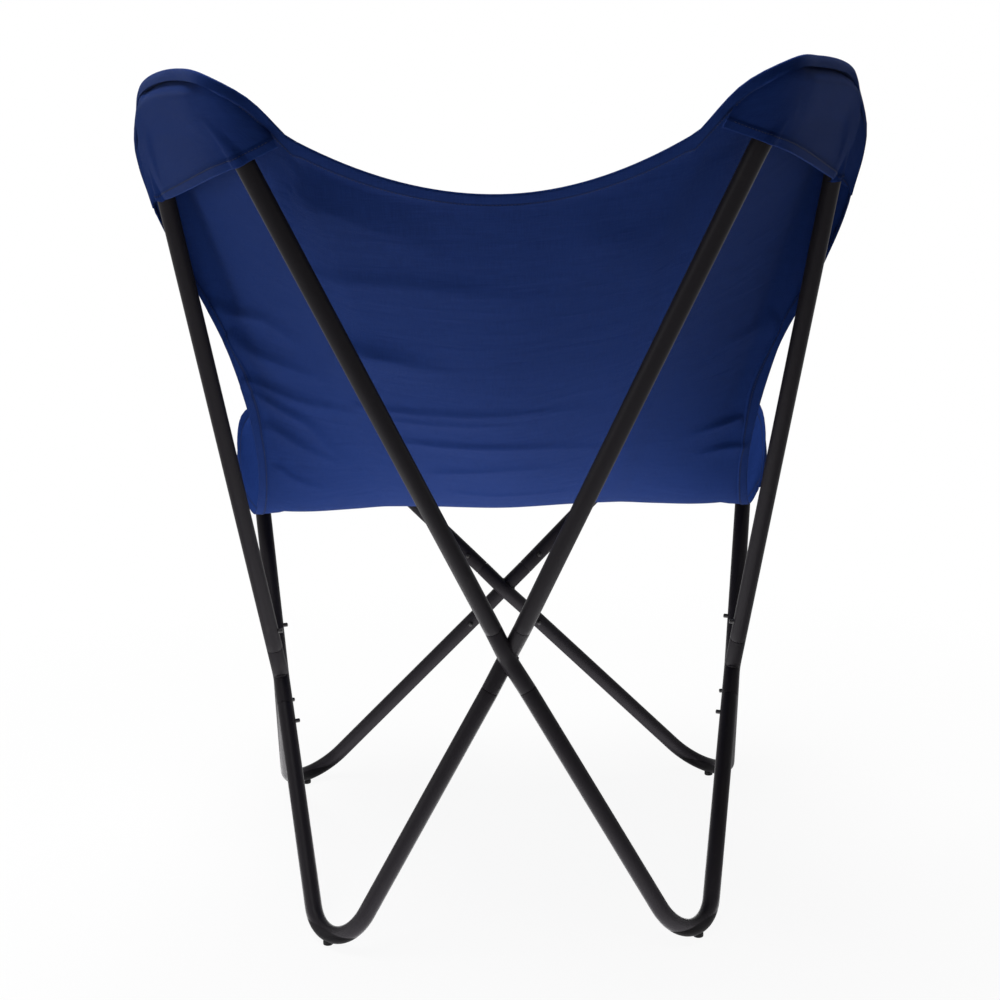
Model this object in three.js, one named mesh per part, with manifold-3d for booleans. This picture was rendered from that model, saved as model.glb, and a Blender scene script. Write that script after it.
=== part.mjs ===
// Butterfly sling chair: a knock-down frame of bent steel tube and a canvas sling that hangs on it.
// Millimetres, +Z up, the floor is z = 0. The sitter faces -Y, so +X is the sitter's left.
// Four bows carry the sling, four V legs carry the bows, and four welded cross connectors join them.
import * as THREE from 'three';
import { mergeVertices } from 'three/addons/utils/BufferGeometryUtils.js';
import Module from 'manifold-3d';

const wasm = await Module();
wasm.setup();

// Tube of the bows, the legs and the arms of the connectors
const TUBE_DIAMETER = 19;
const TUBE_WALL = 1.2;
const FOOT_BEND_RADIUS = 52;
const BOW_BEND_RADIUS = 60;

// Where the tubes cross, given for the left half of the chair
const REAR_CROSS = [0, 158.5, 321];
const FRONT_CROSS = [0, -337.5, 268];
const SIDE_CROSS = [270, -100.5, 227];

// Sharp corners of the bows before they are rounded, and the feet seen from above
const BACK_INNER_CORNER = [250, 396.5, 900];
const BACK_OUTER_CORNER = [355.4, 116, 895];
const FRONT_INNER_CORNER = [248, -402.5, 505];
const FRONT_OUTER_CORNER = [316, -301.5, 505];
const REAR_FOOT = [203, 185.5];
const FRONT_FOOT = [300, -376.5];

// Cross connectors: full-size arms, then reduced spigots that plug into the bows and legs
const ARM_LENGTH = 40;
const ARM_BEND_RADIUS = 45;
const SPIGOT_LENGTH = 56;
const SPIGOT_WALL = 1.2;
const SPIGOT_CLEARANCE = 0.4;
const JOINT_GAP = 0.3;

// Snap buttons and the folded leaf springs behind them, inside the spigots
const BUTTON_DIAMETER = 5;
const BUTTON_STAND = 5.2;
const BUTTON_FROM_SHOULDER = 24;
const BUTTON_WALL = 0.7;
const BUTTON_FLANGE_DIAMETER = 7;
const BUTTON_FLANGE_THICKNESS = 0.8;
const BUTTON_CLEARANCE = 0.45;
const SPRING_WIDTH = 5;
const SPRING_THICKNESS = 0.5;
const SPRING_LENGTH = 24;
const SPRING_TAIL = 5;

// Rubber glides plugged into the undersides of the foot bends
const GLIDE_DIAMETER = 11;
const GLIDE_DROP = 4;
const GLIDE_STEM_DIAMETER = 5;
const GLIDE_BARB_DIAMETER = 6.6;
const GLIDE_BARB_HEIGHT = 2.2;
const GLIDE_BARB_LIFT = 2;
const GLIDE_CLEARANCE = 0.35;

// Canvas: the seat panel and the four corner pockets, with a sewn rim beyond the tube
const CLOTH_THICKNESS = 2;
const CLOTH_GAP = 0.5;
const TUBE_TO_CLOTH = 0.9;
const RIM_WIDTH = 12.5;
const RIM_RAMP = 18;
const BACK_POCKET_INNER = 70;
const BACK_POCKET_OUTER = 100;
const BACK_POCKET_END = 105;
const BACK_FLAP_ALONG = 47.6;
const BACK_FLAP_IN = 53;
const BACK_FLAP_OUT = 3;
const BACK_FLAP_DROP = 10;
const FRONT_POCKET_INNER = 82;
const FRONT_POCKET_OUTER = 104;
const FRONT_FLAP_ALONG = 66;
const FRONT_FLAP_IN = 34;
const FRONT_FLAP_OUT = 16;
const POCKET_SLACK = 2;

// How far the wings stand out beyond the plain rim, from the notch by the inner leg round to the side hem
const BACK_NECK_FLARE = 14;
const BACK_SHOULDER_FLARE = 33;
const BACK_CREST_FLARE = 2;
const BACK_BROW_FLARE = -2;
const BACK_CORNER_FLARE = 7.5;
const BACK_FLANK_FLARE = 12.5;
const FRONT_SHOULDER_FLARE = 6;
const FRONT_CREST_FLARE = 1.5;
const FRONT_CORNER_FLARE = 6;
const FRONT_FLANK_FLARE = 9;

// How the back and front edges hang between the bows, and how the side edges swell out below the pockets
const BACK_EDGE_SAG = 53;
const BACK_EDGE_FORWARD = 45.5;
const FRONT_EDGE_SAG = 16;
const FRONT_EDGE_BACK = 44;
const FLANK_BILLOW = 14;
const BILLOW_SHARE = 0.055;

// The canvas hangs in curves from the back edge to the front edge. Control points pull the curve of the
// seat's middle and of its side edge, and the seat's height is met at one share of each curve.
const BACK_CONTROL_MID = [0, -11.5, 425];
const BACK_CONTROL_SIDE = [262, -21.5, 520];
const SEAT_CONTROL_MID = [0, -161.5];
const SEAT_CONTROL_SIDE = [283, -141.5];
const SEAT_HEIGHT = 412;
const SEAT_DIP = 30;
const SEAT_SIDE_RISE = 14;
const SEAT_SHARE = 0.68;

// Facets
const FACET_TOLERANCE = 0.02;
const SAME_PLACE = 1e-6;
const TUBE_SIDES = 12;
const BORE_SIDES = 8;
const BUTTON_SIDES = 8;
const GLIDE_SIDES = 12;
const BOW_BEND_STEPS = 6;
const FOOT_BEND_STEPS = 7;
const ARM_BEND_STEPS = 2;

const TUBE_RADIUS = TUBE_DIAMETER / 2;
const BORE_RADIUS = TUBE_RADIUS - TUBE_WALL;
const SPIGOT_RADIUS = BORE_RADIUS - SPIGOT_CLEARANCE;
const SPIGOT_BORE_RADIUS = SPIGOT_RADIUS - SPIGOT_WALL;
const FLOOR_TO_TUBE_CENTRE = TUBE_RADIUS + GLIDE_DROP;
const SIDES = [{ name: 'left', sign: 1 }, { name: 'right', sign: -1 }];

const tubePaint = { color: 0x1b1a1c, roughness: 0.45, metalness: 0.35 };
const buttonSteel = { color: 0x2a2a2c, roughness: 0.4, metalness: 0.8 };
const springSteel = { color: 0x8d9096, roughness: 0.35, metalness: 0.95 };
const glideRubber = { color: 0x0f0f10, roughness: 0.85, metalness: 0 };
const canvasBlue = { color: 0x202f78, roughness: 0.9, metalness: 0 };

const vector = ([x, y, z], sign = 1) => new THREE.Vector3(sign * x, y, z);
const along = (start, direction, distance) => start.clone().addScaledVector(direction, distance);
const towards = (from, to) => to.clone().sub(from).normalize();
const smooth = (x) => THREE.MathUtils.smoothstep(x, 0, 1);

// Solids: a closed mesh goes in, a solid that can be joined and cut comes out, and back again.
function solidFrom(vertProperties, triVerts) {
  const mesh = new wasm.Mesh({
    numProp: 3,
    vertProperties: new Float32Array(vertProperties),
    triVerts: new Uint32Array(triVerts),
  });
  mesh.merge();
  return new wasm.Manifold(mesh);
}

function solidOf(geometry) {
  const bare = geometry.clone();
  bare.deleteAttribute('normal');
  bare.deleteAttribute('uv');
  const merged = mergeVertices(bare, 1e-4);
  return solidFrom(merged.attributes.position.array, merged.index.array);
}

function geometryOf(solid) {
  const { vertProperties, triVerts } = solid.asOriginal().simplify(FACET_TOLERANCE).getMesh();
  const geometry = new THREE.BufferGeometry();
  geometry.setAttribute('position', new THREE.BufferAttribute(vertProperties, 3));
  geometry.setIndex(new THREE.BufferAttribute(triVerts, 1));
  return geometry;
}

function piece(name, geometry, finish) {
  const mesh = new THREE.Mesh(geometry, new THREE.MeshStandardMaterial(finish));
  mesh.name = name;
  return mesh;
}

// A polyline whose inner corners are rounded to one bend radius, as a tube bender leaves them.
function roundedPath(corners, radius, steps) {
  const path = [corners[0]];
  for (let i = 1; i < corners.length - 1; i += 1) {
    const before = towards(corners[i], corners[i - 1]);
    const after = towards(corners[i], corners[i + 1]);
    const half = before.angleTo(after) / 2;
    const bisector = before.clone().add(after).normalize();
    const centre = along(corners[i], bisector, radius / Math.sin(half));
    const first = along(corners[i], before, radius / Math.tan(half)).sub(centre);
    const axis = before.clone().cross(after).normalize();
    for (let k = 0; k <= steps; k += 1) {
      const turn = -(Math.PI - 2 * half) * (k / steps);
      path.push(first.clone().applyAxisAngle(axis, turn).add(centre));
    }
  }
  path.push(corners[corners.length - 1]);
  return path;
}

// A round bar along a path. Each ring has its own radius, and its plane halves the angle between its
// two neighbours. Flats, not corners, lie on the radius where outside is false, so a bore stays clear.
function sweptBar(path, radii, sides, outside = true) {
  const vertices = [];
  const triangles = [];
  const flats = outside ? 1 : 1 / Math.cos(Math.PI / sides);
  let normal = null;
  path.forEach((point, i) => {
    const next = path[Math.min(i + 1, path.length - 1)];
    const last = path[Math.max(i - 1, 0)];
    const incoming = i > 0 && point.distanceTo(last) > SAME_PLACE ? towards(last, point) : towards(point, next);
    const outgoing = next.distanceTo(point) > SAME_PLACE ? towards(point, next) : incoming;
    const tangent = incoming.clone().add(outgoing).normalize();
    const seed = Math.abs(tangent.z) > 0.9 ? new THREE.Vector3(1, 0, 0) : new THREE.Vector3(0, 0, 1);
    normal = normal ?? seed;
    normal = along(normal, tangent, -normal.dot(tangent)).normalize();
    const binormal = tangent.clone().cross(normal);
    for (let k = 0; k < sides; k += 1) {
      const angle = (2 * Math.PI * k) / sides;
      const ring = along(point, normal, flats * radii[i] * Math.cos(angle));
      ring.addScaledVector(binormal, flats * radii[i] * Math.sin(angle));
      vertices.push(ring.x, ring.y, ring.z);
    }
  });
  const rings = path.length;
  for (let i = 0; i < rings - 1; i += 1) {
    for (let k = 0; k < sides; k += 1) {
      const a = i * sides + k;
      const b = i * sides + ((k + 1) % sides);
      triangles.push(a, b, a + sides, b, b + sides, a + sides);
    }
  }
  const end = (rings - 1) * sides;
  for (let k = 1; k < sides - 1; k += 1) {
    triangles.push(0, k + 1, k, end, end + k, end + k + 1);
  }
  return solidFrom(vertices, triangles);
}

const evenBar = (path, radius, sides, outside) => sweptBar(path, path.map(() => radius), sides, outside);

// The same path made longer at both ends, for a bore that opens at the ends of its tube.
function lengthened(path, extra) {
  const last = path.length - 1;
  const start = along(path[0], towards(path[1], path[0]), extra);
  const finish = along(path[last], towards(path[last - 1], path[last]), extra);
  return [start, ...path.slice(1, last), finish];
}

// The foot's sharp corner is set so that its rounded bend stands one glide above the floor.
function footCorner(foot, from, to, sign) {
  const corner = new THREE.Vector3(sign * foot[0], foot[1], 0);
  const fineSteps = 48;
  const rounds = 12;
  for (let i = 0; i < rounds; i += 1) {
    const bend = roundedPath([from, corner, to], FOOT_BEND_RADIUS, fineSteps);
    const lowest = Math.min(...bend.map((point) => point.z));
    corner.z += FLOOR_TO_TUBE_CENTRE - lowest;
  }
  return corner;
}

// Members of one half of the frame: each is a bent tube from one crossing to another.
function membersOf({ name, sign }) {
  const rear = vector(REAR_CROSS, sign);
  const front = vector(FRONT_CROSS, sign);
  const side = vector(SIDE_CROSS, sign);
  const bow = (inner, outer) => [vector(inner, sign), vector(outer, sign)];
  const members = {
    backBow: { start: rear, finish: side, corners: bow(BACK_INNER_CORNER, BACK_OUTER_CORNER) },
    frontBow: { start: front, finish: side, corners: bow(FRONT_INNER_CORNER, FRONT_OUTER_CORNER) },
    rearLeg: { start: rear, finish: side, corners: [footCorner(REAR_FOOT, rear, side, sign)] },
    frontLeg: { start: front, finish: side, corners: [footCorner(FRONT_FOOT, front, side, sign)] },
  };
  const titles = {
    backBow: `back_${name}_bow`,
    frontBow: `front_${name}_bow`,
    rearLeg: `rear_${name}_leg`,
    frontLeg: `front_${name}_leg`,
  };
  for (const [key, member] of Object.entries(members)) {
    const isBow = key.endsWith('Bow');
    const atStart = key === 'backBow' || key === 'rearLeg' ? 'rear' : 'front';
    const lastCorner = member.corners[member.corners.length - 1];
    member.name = titles[key];
    member.bendRadius = isBow ? BOW_BEND_RADIUS : FOOT_BEND_RADIUS;
    member.bendSteps = isBow ? BOW_BEND_STEPS : FOOT_BEND_STEPS;
    member.ends = [
      { where: atStart, cross: member.start, direction: towards(member.start, member.corners[0]) },
      { where: 'side', cross: member.finish, direction: towards(member.finish, lastCorner) },
    ];
  }
  return members;
}

// Place of one spigot: x along the arm, y towards the inside of the chair, where the button points.
function spigotFrame({ cross, direction }) {
  const middle = new THREE.Vector3(0, SIDE_CROSS[1], cross.z);
  const inward = middle.sub(cross);
  inward.addScaledVector(direction, -inward.dot(direction)).normalize();
  const across = direction.clone().cross(inward);
  const turn = new THREE.Matrix4().makeBasis(direction, inward, across);
  const group = new THREE.Group();
  group.position.copy(along(cross, direction, ARM_LENGTH + BUTTON_FROM_SHOULDER));
  group.quaternion.setFromRotationMatrix(turn);
  return { group, inward };
}

// A round cutter through one wall of a spigot and of the tube around it, on the button's line.
function buttonHole(end) {
  const { group, inward } = spigotFrame(end);
  const radius = BUTTON_DIAMETER / 2 + BUTTON_CLEARANCE;
  const path = [group.position, along(group.position, inward, 2 * TUBE_RADIUS)];
  return evenBar(path, radius, BUTTON_SIDES, false);
}

function memberPath(member, steps) {
  const inset = ARM_LENGTH + JOINT_GAP;
  const start = along(member.start, member.ends[0].direction, inset);
  const finish = along(member.finish, member.ends[1].direction, inset);
  return roundedPath([start, ...member.corners, finish], member.bendRadius, steps);
}

// Lowest point of a foot bend: the glide's hole is drilled there.
function lowestPoint(member) {
  const fineSteps = 96;
  const path = memberPath(member, fineSteps);
  return path.reduce((low, point) => (point.z < low.z ? point : low));
}

function memberSolid(member) {
  const path = memberPath(member, member.bendSteps);
  const ends = 2;
  let solid = evenBar(path, TUBE_RADIUS, TUBE_SIDES);
  solid = solid.subtract(evenBar(lengthened(path, ends), BORE_RADIUS, BORE_SIDES, false));
  for (const end of member.ends) {
    solid = solid.subtract(buttonHole(end));
  }
  if (member.corners.length === 1) {
    const low = lowestPoint(member);
    const floor = new THREE.Vector3(low.x, low.y, 0);
    const radius = GLIDE_STEM_DIAMETER / 2 + GLIDE_CLEARANCE;
    solid = solid.subtract(evenBar([floor, low], radius, GLIDE_SIDES, false));
  }
  return solid;
}

// Cross connector: two bent tubes that are notched and welded where they cross, each with a spigot
// swaged on both ends. Pairs name the two arms that one tube makes.
function connectorSolid(cross, pairs) {
  const reach = ARM_LENGTH + SPIGOT_LENGTH;
  const overrun = 2;
  let outside = null;
  let bores = null;
  let holes = null;
  const join = (whole, part) => (whole ? whole.add(part) : part);
  for (const [first, second] of pairs) {
    const tips = [first, second].map((end) => along(cross, end.direction, reach));
    const shoulders = [first, second].map((end) => along(cross, end.direction, ARM_LENGTH));
    const path = roundedPath([tips[0], cross, tips[1]], ARM_BEND_RADIUS, ARM_BEND_STEPS);
    const bend = path.slice(1, -1);
    const stepped = [tips[0], shoulders[0], shoulders[0], ...bend, shoulders[1], shoulders[1], tips[1]];
    const spigot = [SPIGOT_RADIUS, SPIGOT_RADIUS];
    const radii = [...spigot, TUBE_RADIUS, ...bend.map(() => TUBE_RADIUS), TUBE_RADIUS, ...spigot];
    outside = join(outside, sweptBar(stepped, radii, TUBE_SIDES));
    bores = join(bores, evenBar(lengthened(path, overrun), SPIGOT_BORE_RADIUS, BORE_SIDES, false));
    for (const end of [first, second]) {
      holes = join(holes, buttonHole(end));
    }
  }
  return outside.subtract(bores).subtract(holes);
}

// Snap button: a drawn steel cup with a flange that stops it inside the spigot.
const FLANGE_TOP = Math.sqrt((SPIGOT_BORE_RADIUS - JOINT_GAP) ** 2 - (BUTTON_FLANGE_DIAMETER / 2) ** 2);
const FLANGE_BOTTOM = FLANGE_TOP - BUTTON_FLANGE_THICKNESS;

function buttonGeometry() {
  const radius = BUTTON_DIAMETER / 2;
  const top = TUBE_RADIUS + BUTTON_STAND;
  const dome = radius * 0.35;
  const profile = [
    [0, top - BUTTON_WALL],
    [radius - BUTTON_WALL, top - dome - BUTTON_WALL],
    [radius - BUTTON_WALL, FLANGE_BOTTOM],
    [BUTTON_FLANGE_DIAMETER / 2, FLANGE_BOTTOM],
    [BUTTON_FLANGE_DIAMETER / 2, FLANGE_TOP],
    [radius, FLANGE_TOP],
    [radius, top - dome],
    [radius * 0.6, top - dome * 0.3],
    [0, top],
  ];
  const points = profile.map(([r, h]) => new THREE.Vector2(r, h));
  return geometryOf(solidOf(new THREE.LatheGeometry(points, BUTTON_SIDES)));
}

// Leaf spring: a strip folded to a V, one arm under the button and the other along the spigot's bore.
function springGeometry() {
  const half = SPRING_THICKNESS / 2;
  const under = FLANGE_BOTTOM - JOINT_GAP - half;
  const reach = Math.sqrt(SPIGOT_BORE_RADIUS ** 2 - (SPRING_WIDTH / 2) ** 2);
  const floor = JOINT_GAP + half - reach * Math.cos(Math.PI / BORE_SIDES);
  const fold = (under - floor) / 5;
  const seat = BUTTON_FLANGE_DIAMETER / 2;
  const spine = [
    [-SPRING_TAIL, under],
    [seat, under],
    [SPRING_LENGTH - fold, floor + 2 * fold],
    [SPRING_LENGTH, floor + fold],
    [SPRING_LENGTH - fold, floor],
    [-SPRING_TAIL, floor],
  ].map(([x, y]) => new THREE.Vector2(x, y));
  const edge = (offset) => spine.map((point, i) => {
    const last = spine[Math.max(i - 1, 0)];
    const next = spine[Math.min(i + 1, spine.length - 1)];
    const before = (i > 0 ? point.clone().sub(last) : next.clone().sub(point)).normalize();
    const after = (i < spine.length - 1 ? next.clone().sub(point) : before.clone()).normalize();
    const mitre = before.clone().add(after).normalize();
    const across = new THREE.Vector2(-mitre.y, mitre.x);
    return point.clone().addScaledVector(across, offset / Math.max(mitre.dot(after), 0.5));
  });
  const strip = new THREE.Shape([...edge(half), ...edge(-half).reverse()]);
  const geometry = new THREE.ExtrudeGeometry(strip, { depth: SPRING_WIDTH, bevelEnabled: false });
  geometry.translate(0, 0, -SPRING_WIDTH / 2);
  return geometry;
}

// Rubber glide: a foot with a saddle that fits the bend, and a barbed stem through the tube's wall.
function glideSolid(member) {
  const low = lowestPoint(member);
  const wallTop = GLIDE_DROP + TUBE_WALL + GLIDE_BARB_LIFT;
  const saddle = GLIDE_DROP + TUBE_RADIUS / 4;
  const stem = GLIDE_STEM_DIAMETER / 2;
  const barb = GLIDE_BARB_DIAMETER / 2;
  const chamfer = 0.8;
  const turned = (profile) => {
    const points = profile.map(([r, h]) => new THREE.Vector2(r, h));
    const geometry = new THREE.LatheGeometry(points, GLIDE_SIDES);
    geometry.rotateX(Math.PI / 2);
    geometry.translate(low.x, low.y, 0);
    return solidOf(geometry);
  };
  const radius = GLIDE_DIAMETER / 2;
  const foot = turned([[0, 0], [radius - chamfer, 0], [radius, chamfer], [radius, saddle], [0, saddle]]);
  const plug = turned([
    [0, GLIDE_DROP / 2],
    [stem, GLIDE_DROP / 2],
    [stem, wallTop],
    [barb, wallTop],
    [stem, wallTop + GLIDE_BARB_HEIGHT],
    [0, wallTop + GLIDE_BARB_HEIGHT],
  ]);
  const path = memberPath(member, member.bendSteps);
  const tube = evenBar(path, TUBE_RADIUS + JOINT_GAP, TUBE_SIDES);
  return foot.subtract(tube).add(plug);
}

// One corner of the sling, made around the bow that carries it: the outer boundary from the middle of
// the edge to the side hem, the direction towards the sitter at each place, and the pocket's hem.
function slingCorner(bow, values) {
  const [inner, outer] = bow.corners;
  const [innerLeg, outerLeg] = bow.ends.map((end) => end.direction.clone().negate());
  const barDirection = towards(inner, outer);
  const legs = innerLeg.clone().add(outerLeg).normalize();
  const sitter = barDirection.clone().cross(legs).normalize();
  if (sitter.z < 0) {
    sitter.negate();
  }
  const outwardAt = (tangent) => {
    const outward = sitter.clone().cross(tangent).normalize();
    return outward.dot(legs) > 0 ? outward.negate() : outward;
  };
  const sideways = (leg, away) => along(away, leg, -away.dot(leg)).normalize();
  const rim = TUBE_RADIUS + RIM_WIDTH;
  const arc = (corner, before, after) => {
    const path = roundedPath([before, corner, after], BOW_BEND_RADIUS, 2);
    return { start: path[1], middle: path[2], finish: path[3] };
  };
  const innerArc = arc(inner, along(inner, innerLeg, 1), outer);
  const outerArc = arc(outer, inner, along(outer, outerLeg, 1));
  const top = outwardAt(barDirection);
  const innerOut = sideways(innerLeg, barDirection.clone().negate());
  const outerOut = sideways(outerLeg, barDirection);
  const innerSkew = innerOut.clone().add(top).normalize();
  const outerSkew = outerOut.clone().add(top).normalize();
  const rolled = along(outerOut, sitter, -values.rimRoll).normalize();
  const flap = along(along(inner, innerLeg, values.flapAlong), innerOut, values.flapOut);
  flap.x -= values.flapIn;
  const hemEnd = along(along(outer, outerLeg, values.pocketEnd), rolled, rim + values.flankFlare);
  const middle = new THREE.Vector3(0, flap.y + values.edgeShift, flap.z - values.edgeSag);
  const shoulder = along(innerArc.middle, innerSkew, rim + values.shoulderFlare);
  const outline = new THREE.CatmullRomCurve3([
    flap,
    along(flap.clone().lerp(shoulder, 0.5), innerSkew, values.neckFlare),
    shoulder,
    along(innerArc.finish, top, rim + values.crestFlare),
    along(outerArc.start, top, rim + values.browFlare),
    along(outerArc.middle, outerSkew, rim + values.cornerFlare),
    along(outerArc.finish, rolled, rim + values.flankFlare),
    hemEnd,
  ]);
  const edge = (s) => {
    if (s <= values.flapShare) {
      const x = s / values.flapShare;
      return new THREE.Vector3(
        flap.x * x,
        THREE.MathUtils.lerp(middle.y, flap.y, x * x),
        THREE.MathUtils.lerp(middle.z, flap.z, x * x),
      );
    }
    return outline.getPointAt((s - values.flapShare) / (1 - values.flapShare));
  };
  const normal = (s) => {
    const turn = smooth((s - values.flapShare) / (values.wingShare - values.flapShare));
    return sideways(innerLeg, values.midNormal).lerp(sitter, turn).normalize();
  };
  const hem = new THREE.CatmullRomCurve3([
    along(flap, innerLeg, values.flapDrop),
    along(inner, innerLeg, values.pocketInner),
    along(outer, outerLeg, values.pocketOuter),
    hemEnd,
  ], false, 'centripetal');
  return { edge, normal, hem, path: memberPath(bow, BOW_BEND_STEPS), flapShare: values.flapShare };
}

// How far a point lies on the wrong side of a tube's axis; the answer fades out away from the tube.
function shortfall(point, path, side) {
  let nearest = path[0];
  for (let i = 0; i < path.length - 1; i += 1) {
    const candidate = new THREE.Line3(path[i], path[i + 1]).closestPointToPoint(point, true, new THREE.Vector3());
    if (candidate.distanceTo(point) < nearest.distanceTo(point)) {
      nearest = candidate;
    }
  }
  const gap = point.clone().sub(nearest);
  const height = gap.dot(side);
  const reach = gap.addScaledVector(side, -height).length();
  return Math.max(0, -height) * (1 - smooth((reach - TUBE_DIAMETER) / TUBE_DIAMETER));
}

// The canvas hangs from the back edge to the front edge in cubic curves, one for each place across the
// seat. Near a bow it steps over the tube towards the sitter, and its edge comes back to the sewn rim.
function slingPoint(back, front, s, place) {
  const share = Math.abs(s);
  const sign = s < 0 ? -1 : 1;
  const start = back.edge(share);
  const finish = front.edge(share);
  const mixed = (mid, side) => new THREE.Vector3(
    side[0] * share,
    THREE.MathUtils.lerp(mid[1], side[1], share * share),
    THREE.MathUtils.lerp(mid[2] ?? 0, side[2] ?? 0, share * share),
  );
  const upper = mixed(BACK_CONTROL_MID, BACK_CONTROL_SIDE);
  const lower = mixed(SEAT_CONTROL_MID, SEAT_CONTROL_SIDE);
  const rest = 1 - SEAT_SHARE;
  const others = rest ** 3 * start.z + 3 * rest ** 2 * SEAT_SHARE * upper.z + SEAT_SHARE ** 3 * finish.z;
  const seat = SEAT_HEIGHT - SEAT_DIP * share ** 2 * (1 - share ** 2) + SEAT_SIDE_RISE * share ** 6;
  lower.z = (seat - others) / (3 * rest * SEAT_SHARE ** 2);
  const curve = new THREE.CubicBezierCurve3(start, upper, lower, finish);
  const bezierOrder = 3;
  const t = place.fromBack !== undefined
    ? place.fromBack / (bezierOrder * start.distanceTo(upper))
    : place.fromFront !== undefined
      ? 1 - place.fromFront / (bezierOrder * finish.distanceTo(lower))
      : place.t;
  const point = curve.getPoint(t);
  point.x += FLANK_BILLOW * (t / BILLOW_SHARE) * Math.exp(1 - t / BILLOW_SHARE) * share ** 8;
  const lift = TUBE_RADIUS + TUBE_TO_CLOTH;
  const layer = (CLOTH_THICKNESS + CLOTH_GAP) / 2;
  const step = (corner, edgePoint, nearness) => {
    const normal = corner.normal(share);
    const over = smooth(point.distanceTo(edgePoint) / RIM_RAMP) * smooth(share / corner.flapShare);
    const height = lift + shortfall(point, corner.path, normal);
    return normal.multiplyScalar((height * over + layer) * nearness);
  };
  const nearBack = 1 - smooth((t - 0.25) / 0.5);
  const offset = step(back, start, nearBack).add(step(front, finish, 1 - nearBack));
  point.add(offset);
  point.x *= sign;
  return point;
}

// A closed sheet from a grid of middle points: two skins half a thickness away, and the edges between.
function sheetGeometry(grid, thickness) {
  const rows = grid.length;
  const columns = grid[0].length;
  const skins = [];
  for (const side of [0.5, -0.5]) {
    for (let i = 0; i < rows; i += 1) {
      for (let j = 0; j < columns; j += 1) {
        const down = grid[Math.min(i + 1, rows - 1)][j].clone().sub(grid[Math.max(i - 1, 0)][j]);
        const over = grid[i][Math.min(j + 1, columns - 1)].clone().sub(grid[i][Math.max(j - 1, 0)]);
        const normal = down.cross(over).normalize();
        skins.push(along(grid[i][j], normal, side * thickness));
      }
    }
  }
  const index = [];
  const at = (skin, i, j) => skin * rows * columns + i * columns + j;
  for (let i = 0; i < rows - 1; i += 1) {
    for (let j = 0; j < columns - 1; j += 1) {
      index.push(at(0, i, j), at(0, i + 1, j), at(0, i, j + 1));
      index.push(at(0, i + 1, j), at(0, i + 1, j + 1), at(0, i, j + 1));
      index.push(at(1, i, j), at(1, i, j + 1), at(1, i + 1, j));
      index.push(at(1, i + 1, j), at(1, i, j + 1), at(1, i + 1, j + 1));
    }
  }
  const wall = (a, b) => {
    index.push(at(0, ...a), at(0, ...b), at(1, ...a));
    index.push(at(0, ...b), at(1, ...b), at(1, ...a));
  };
  for (let j = 0; j < columns - 1; j += 1) {
    wall([0, j], [0, j + 1]);
    wall([rows - 1, j + 1], [rows - 1, j]);
  }
  for (let i = 0; i < rows - 1; i += 1) {
    wall([i + 1, 0], [i, 0]);
    wall([i, columns - 1], [i + 1, columns - 1]);
  }
  const geometry = new THREE.BufferGeometry();
  geometry.setAttribute('position', new THREE.Float32BufferAttribute(skins.flatMap((p) => p.toArray()), 3));
  geometry.setIndex(index);
  return geometry;
}

function panelGeometry(back, front) {
  const acrossHalf = 15;
  const acrossShares = [];
  for (let k = -acrossHalf; k <= acrossHalf; k += 1) {
    acrossShares.push(k / acrossHalf);
  }
  const rimRows = [0, 6, 12, 19, 34];
  const seatRows = 10;
  const rows = rimRows.map((fromBack) => ({ fromBack }));
  for (let k = 1; k <= seatRows; k += 1) {
    rows.push({ t: k / (seatRows + 1) });
  }
  rows.push(...rimRows.map((fromFront) => ({ fromFront })).reverse());
  const grid = rows.map((place) => acrossShares.map((s) => slingPoint(back, front, s, place)));
  return sheetGeometry(grid, CLOTH_THICKNESS);
}

// A pocket is a second layer behind the bow, sewn to the panel along the rim and open at its hem.
function pocketGeometry(corner, sign) {
  const columns = 15;
  const endInset = 0.03;
  const rimDistances = [0, 6, 12, 19];
  const lowerRows = [0.5, 0.75, 1];
  const lift = TUBE_RADIUS + TUBE_TO_CLOTH;
  const layer = (CLOTH_THICKNESS + CLOTH_GAP) / 2;
  const pointAt = (q, place) => {
    const s = THREE.MathUtils.lerp(corner.flapShare, 1, q);
    const rim = corner.edge(s);
    const hem = corner.hem.getPointAt(q);
    const deep = rim.distanceTo(hem);
    const share = place.share ?? Math.min(place.distance / deep, place.limit);
    const point = rim.clone().lerp(hem, share);
    const outside = corner.normal(s).negate();
    const height = lift + POCKET_SLACK + shortfall(point, corner.path, outside);
    point.addScaledVector(outside, height * smooth((share * deep) / RIM_RAMP) + layer);
    point.x *= sign;
    return point;
  };
  const places = rimDistances.map((distance, i) => ({ distance, limit: (0.4 * i) / rimDistances.length }));
  places.push(...lowerRows.map((share) => ({ share })));
  const grid = places.map((place) => {
    const row = [];
    for (let k = 0; k < columns; k += 1) {
      const q = THREE.MathUtils.lerp(endInset, 1 - endInset, k / (columns - 1));
      row.push(pointAt(q, place));
    }
    return sign > 0 ? row : row.reverse();
  });
  return sheetGeometry(grid, CLOTH_THICKNESS);
}

const chair = new THREE.Group();
const frame = Object.fromEntries(SIDES.map((side) => [side.name, membersOf(side)]));
const { left, right } = frame;

// Bows, legs and glides
for (const members of Object.values(frame)) {
  for (const member of Object.values(members)) {
    chair.add(piece(member.name, geometryOf(memberSolid(member)), tubePaint));
  }
  for (const leg of [members.rearLeg, members.frontLeg]) {
    chair.add(piece(`${leg.name}_glide`, geometryOf(glideSolid(leg)), glideRubber));
  }
}

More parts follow.
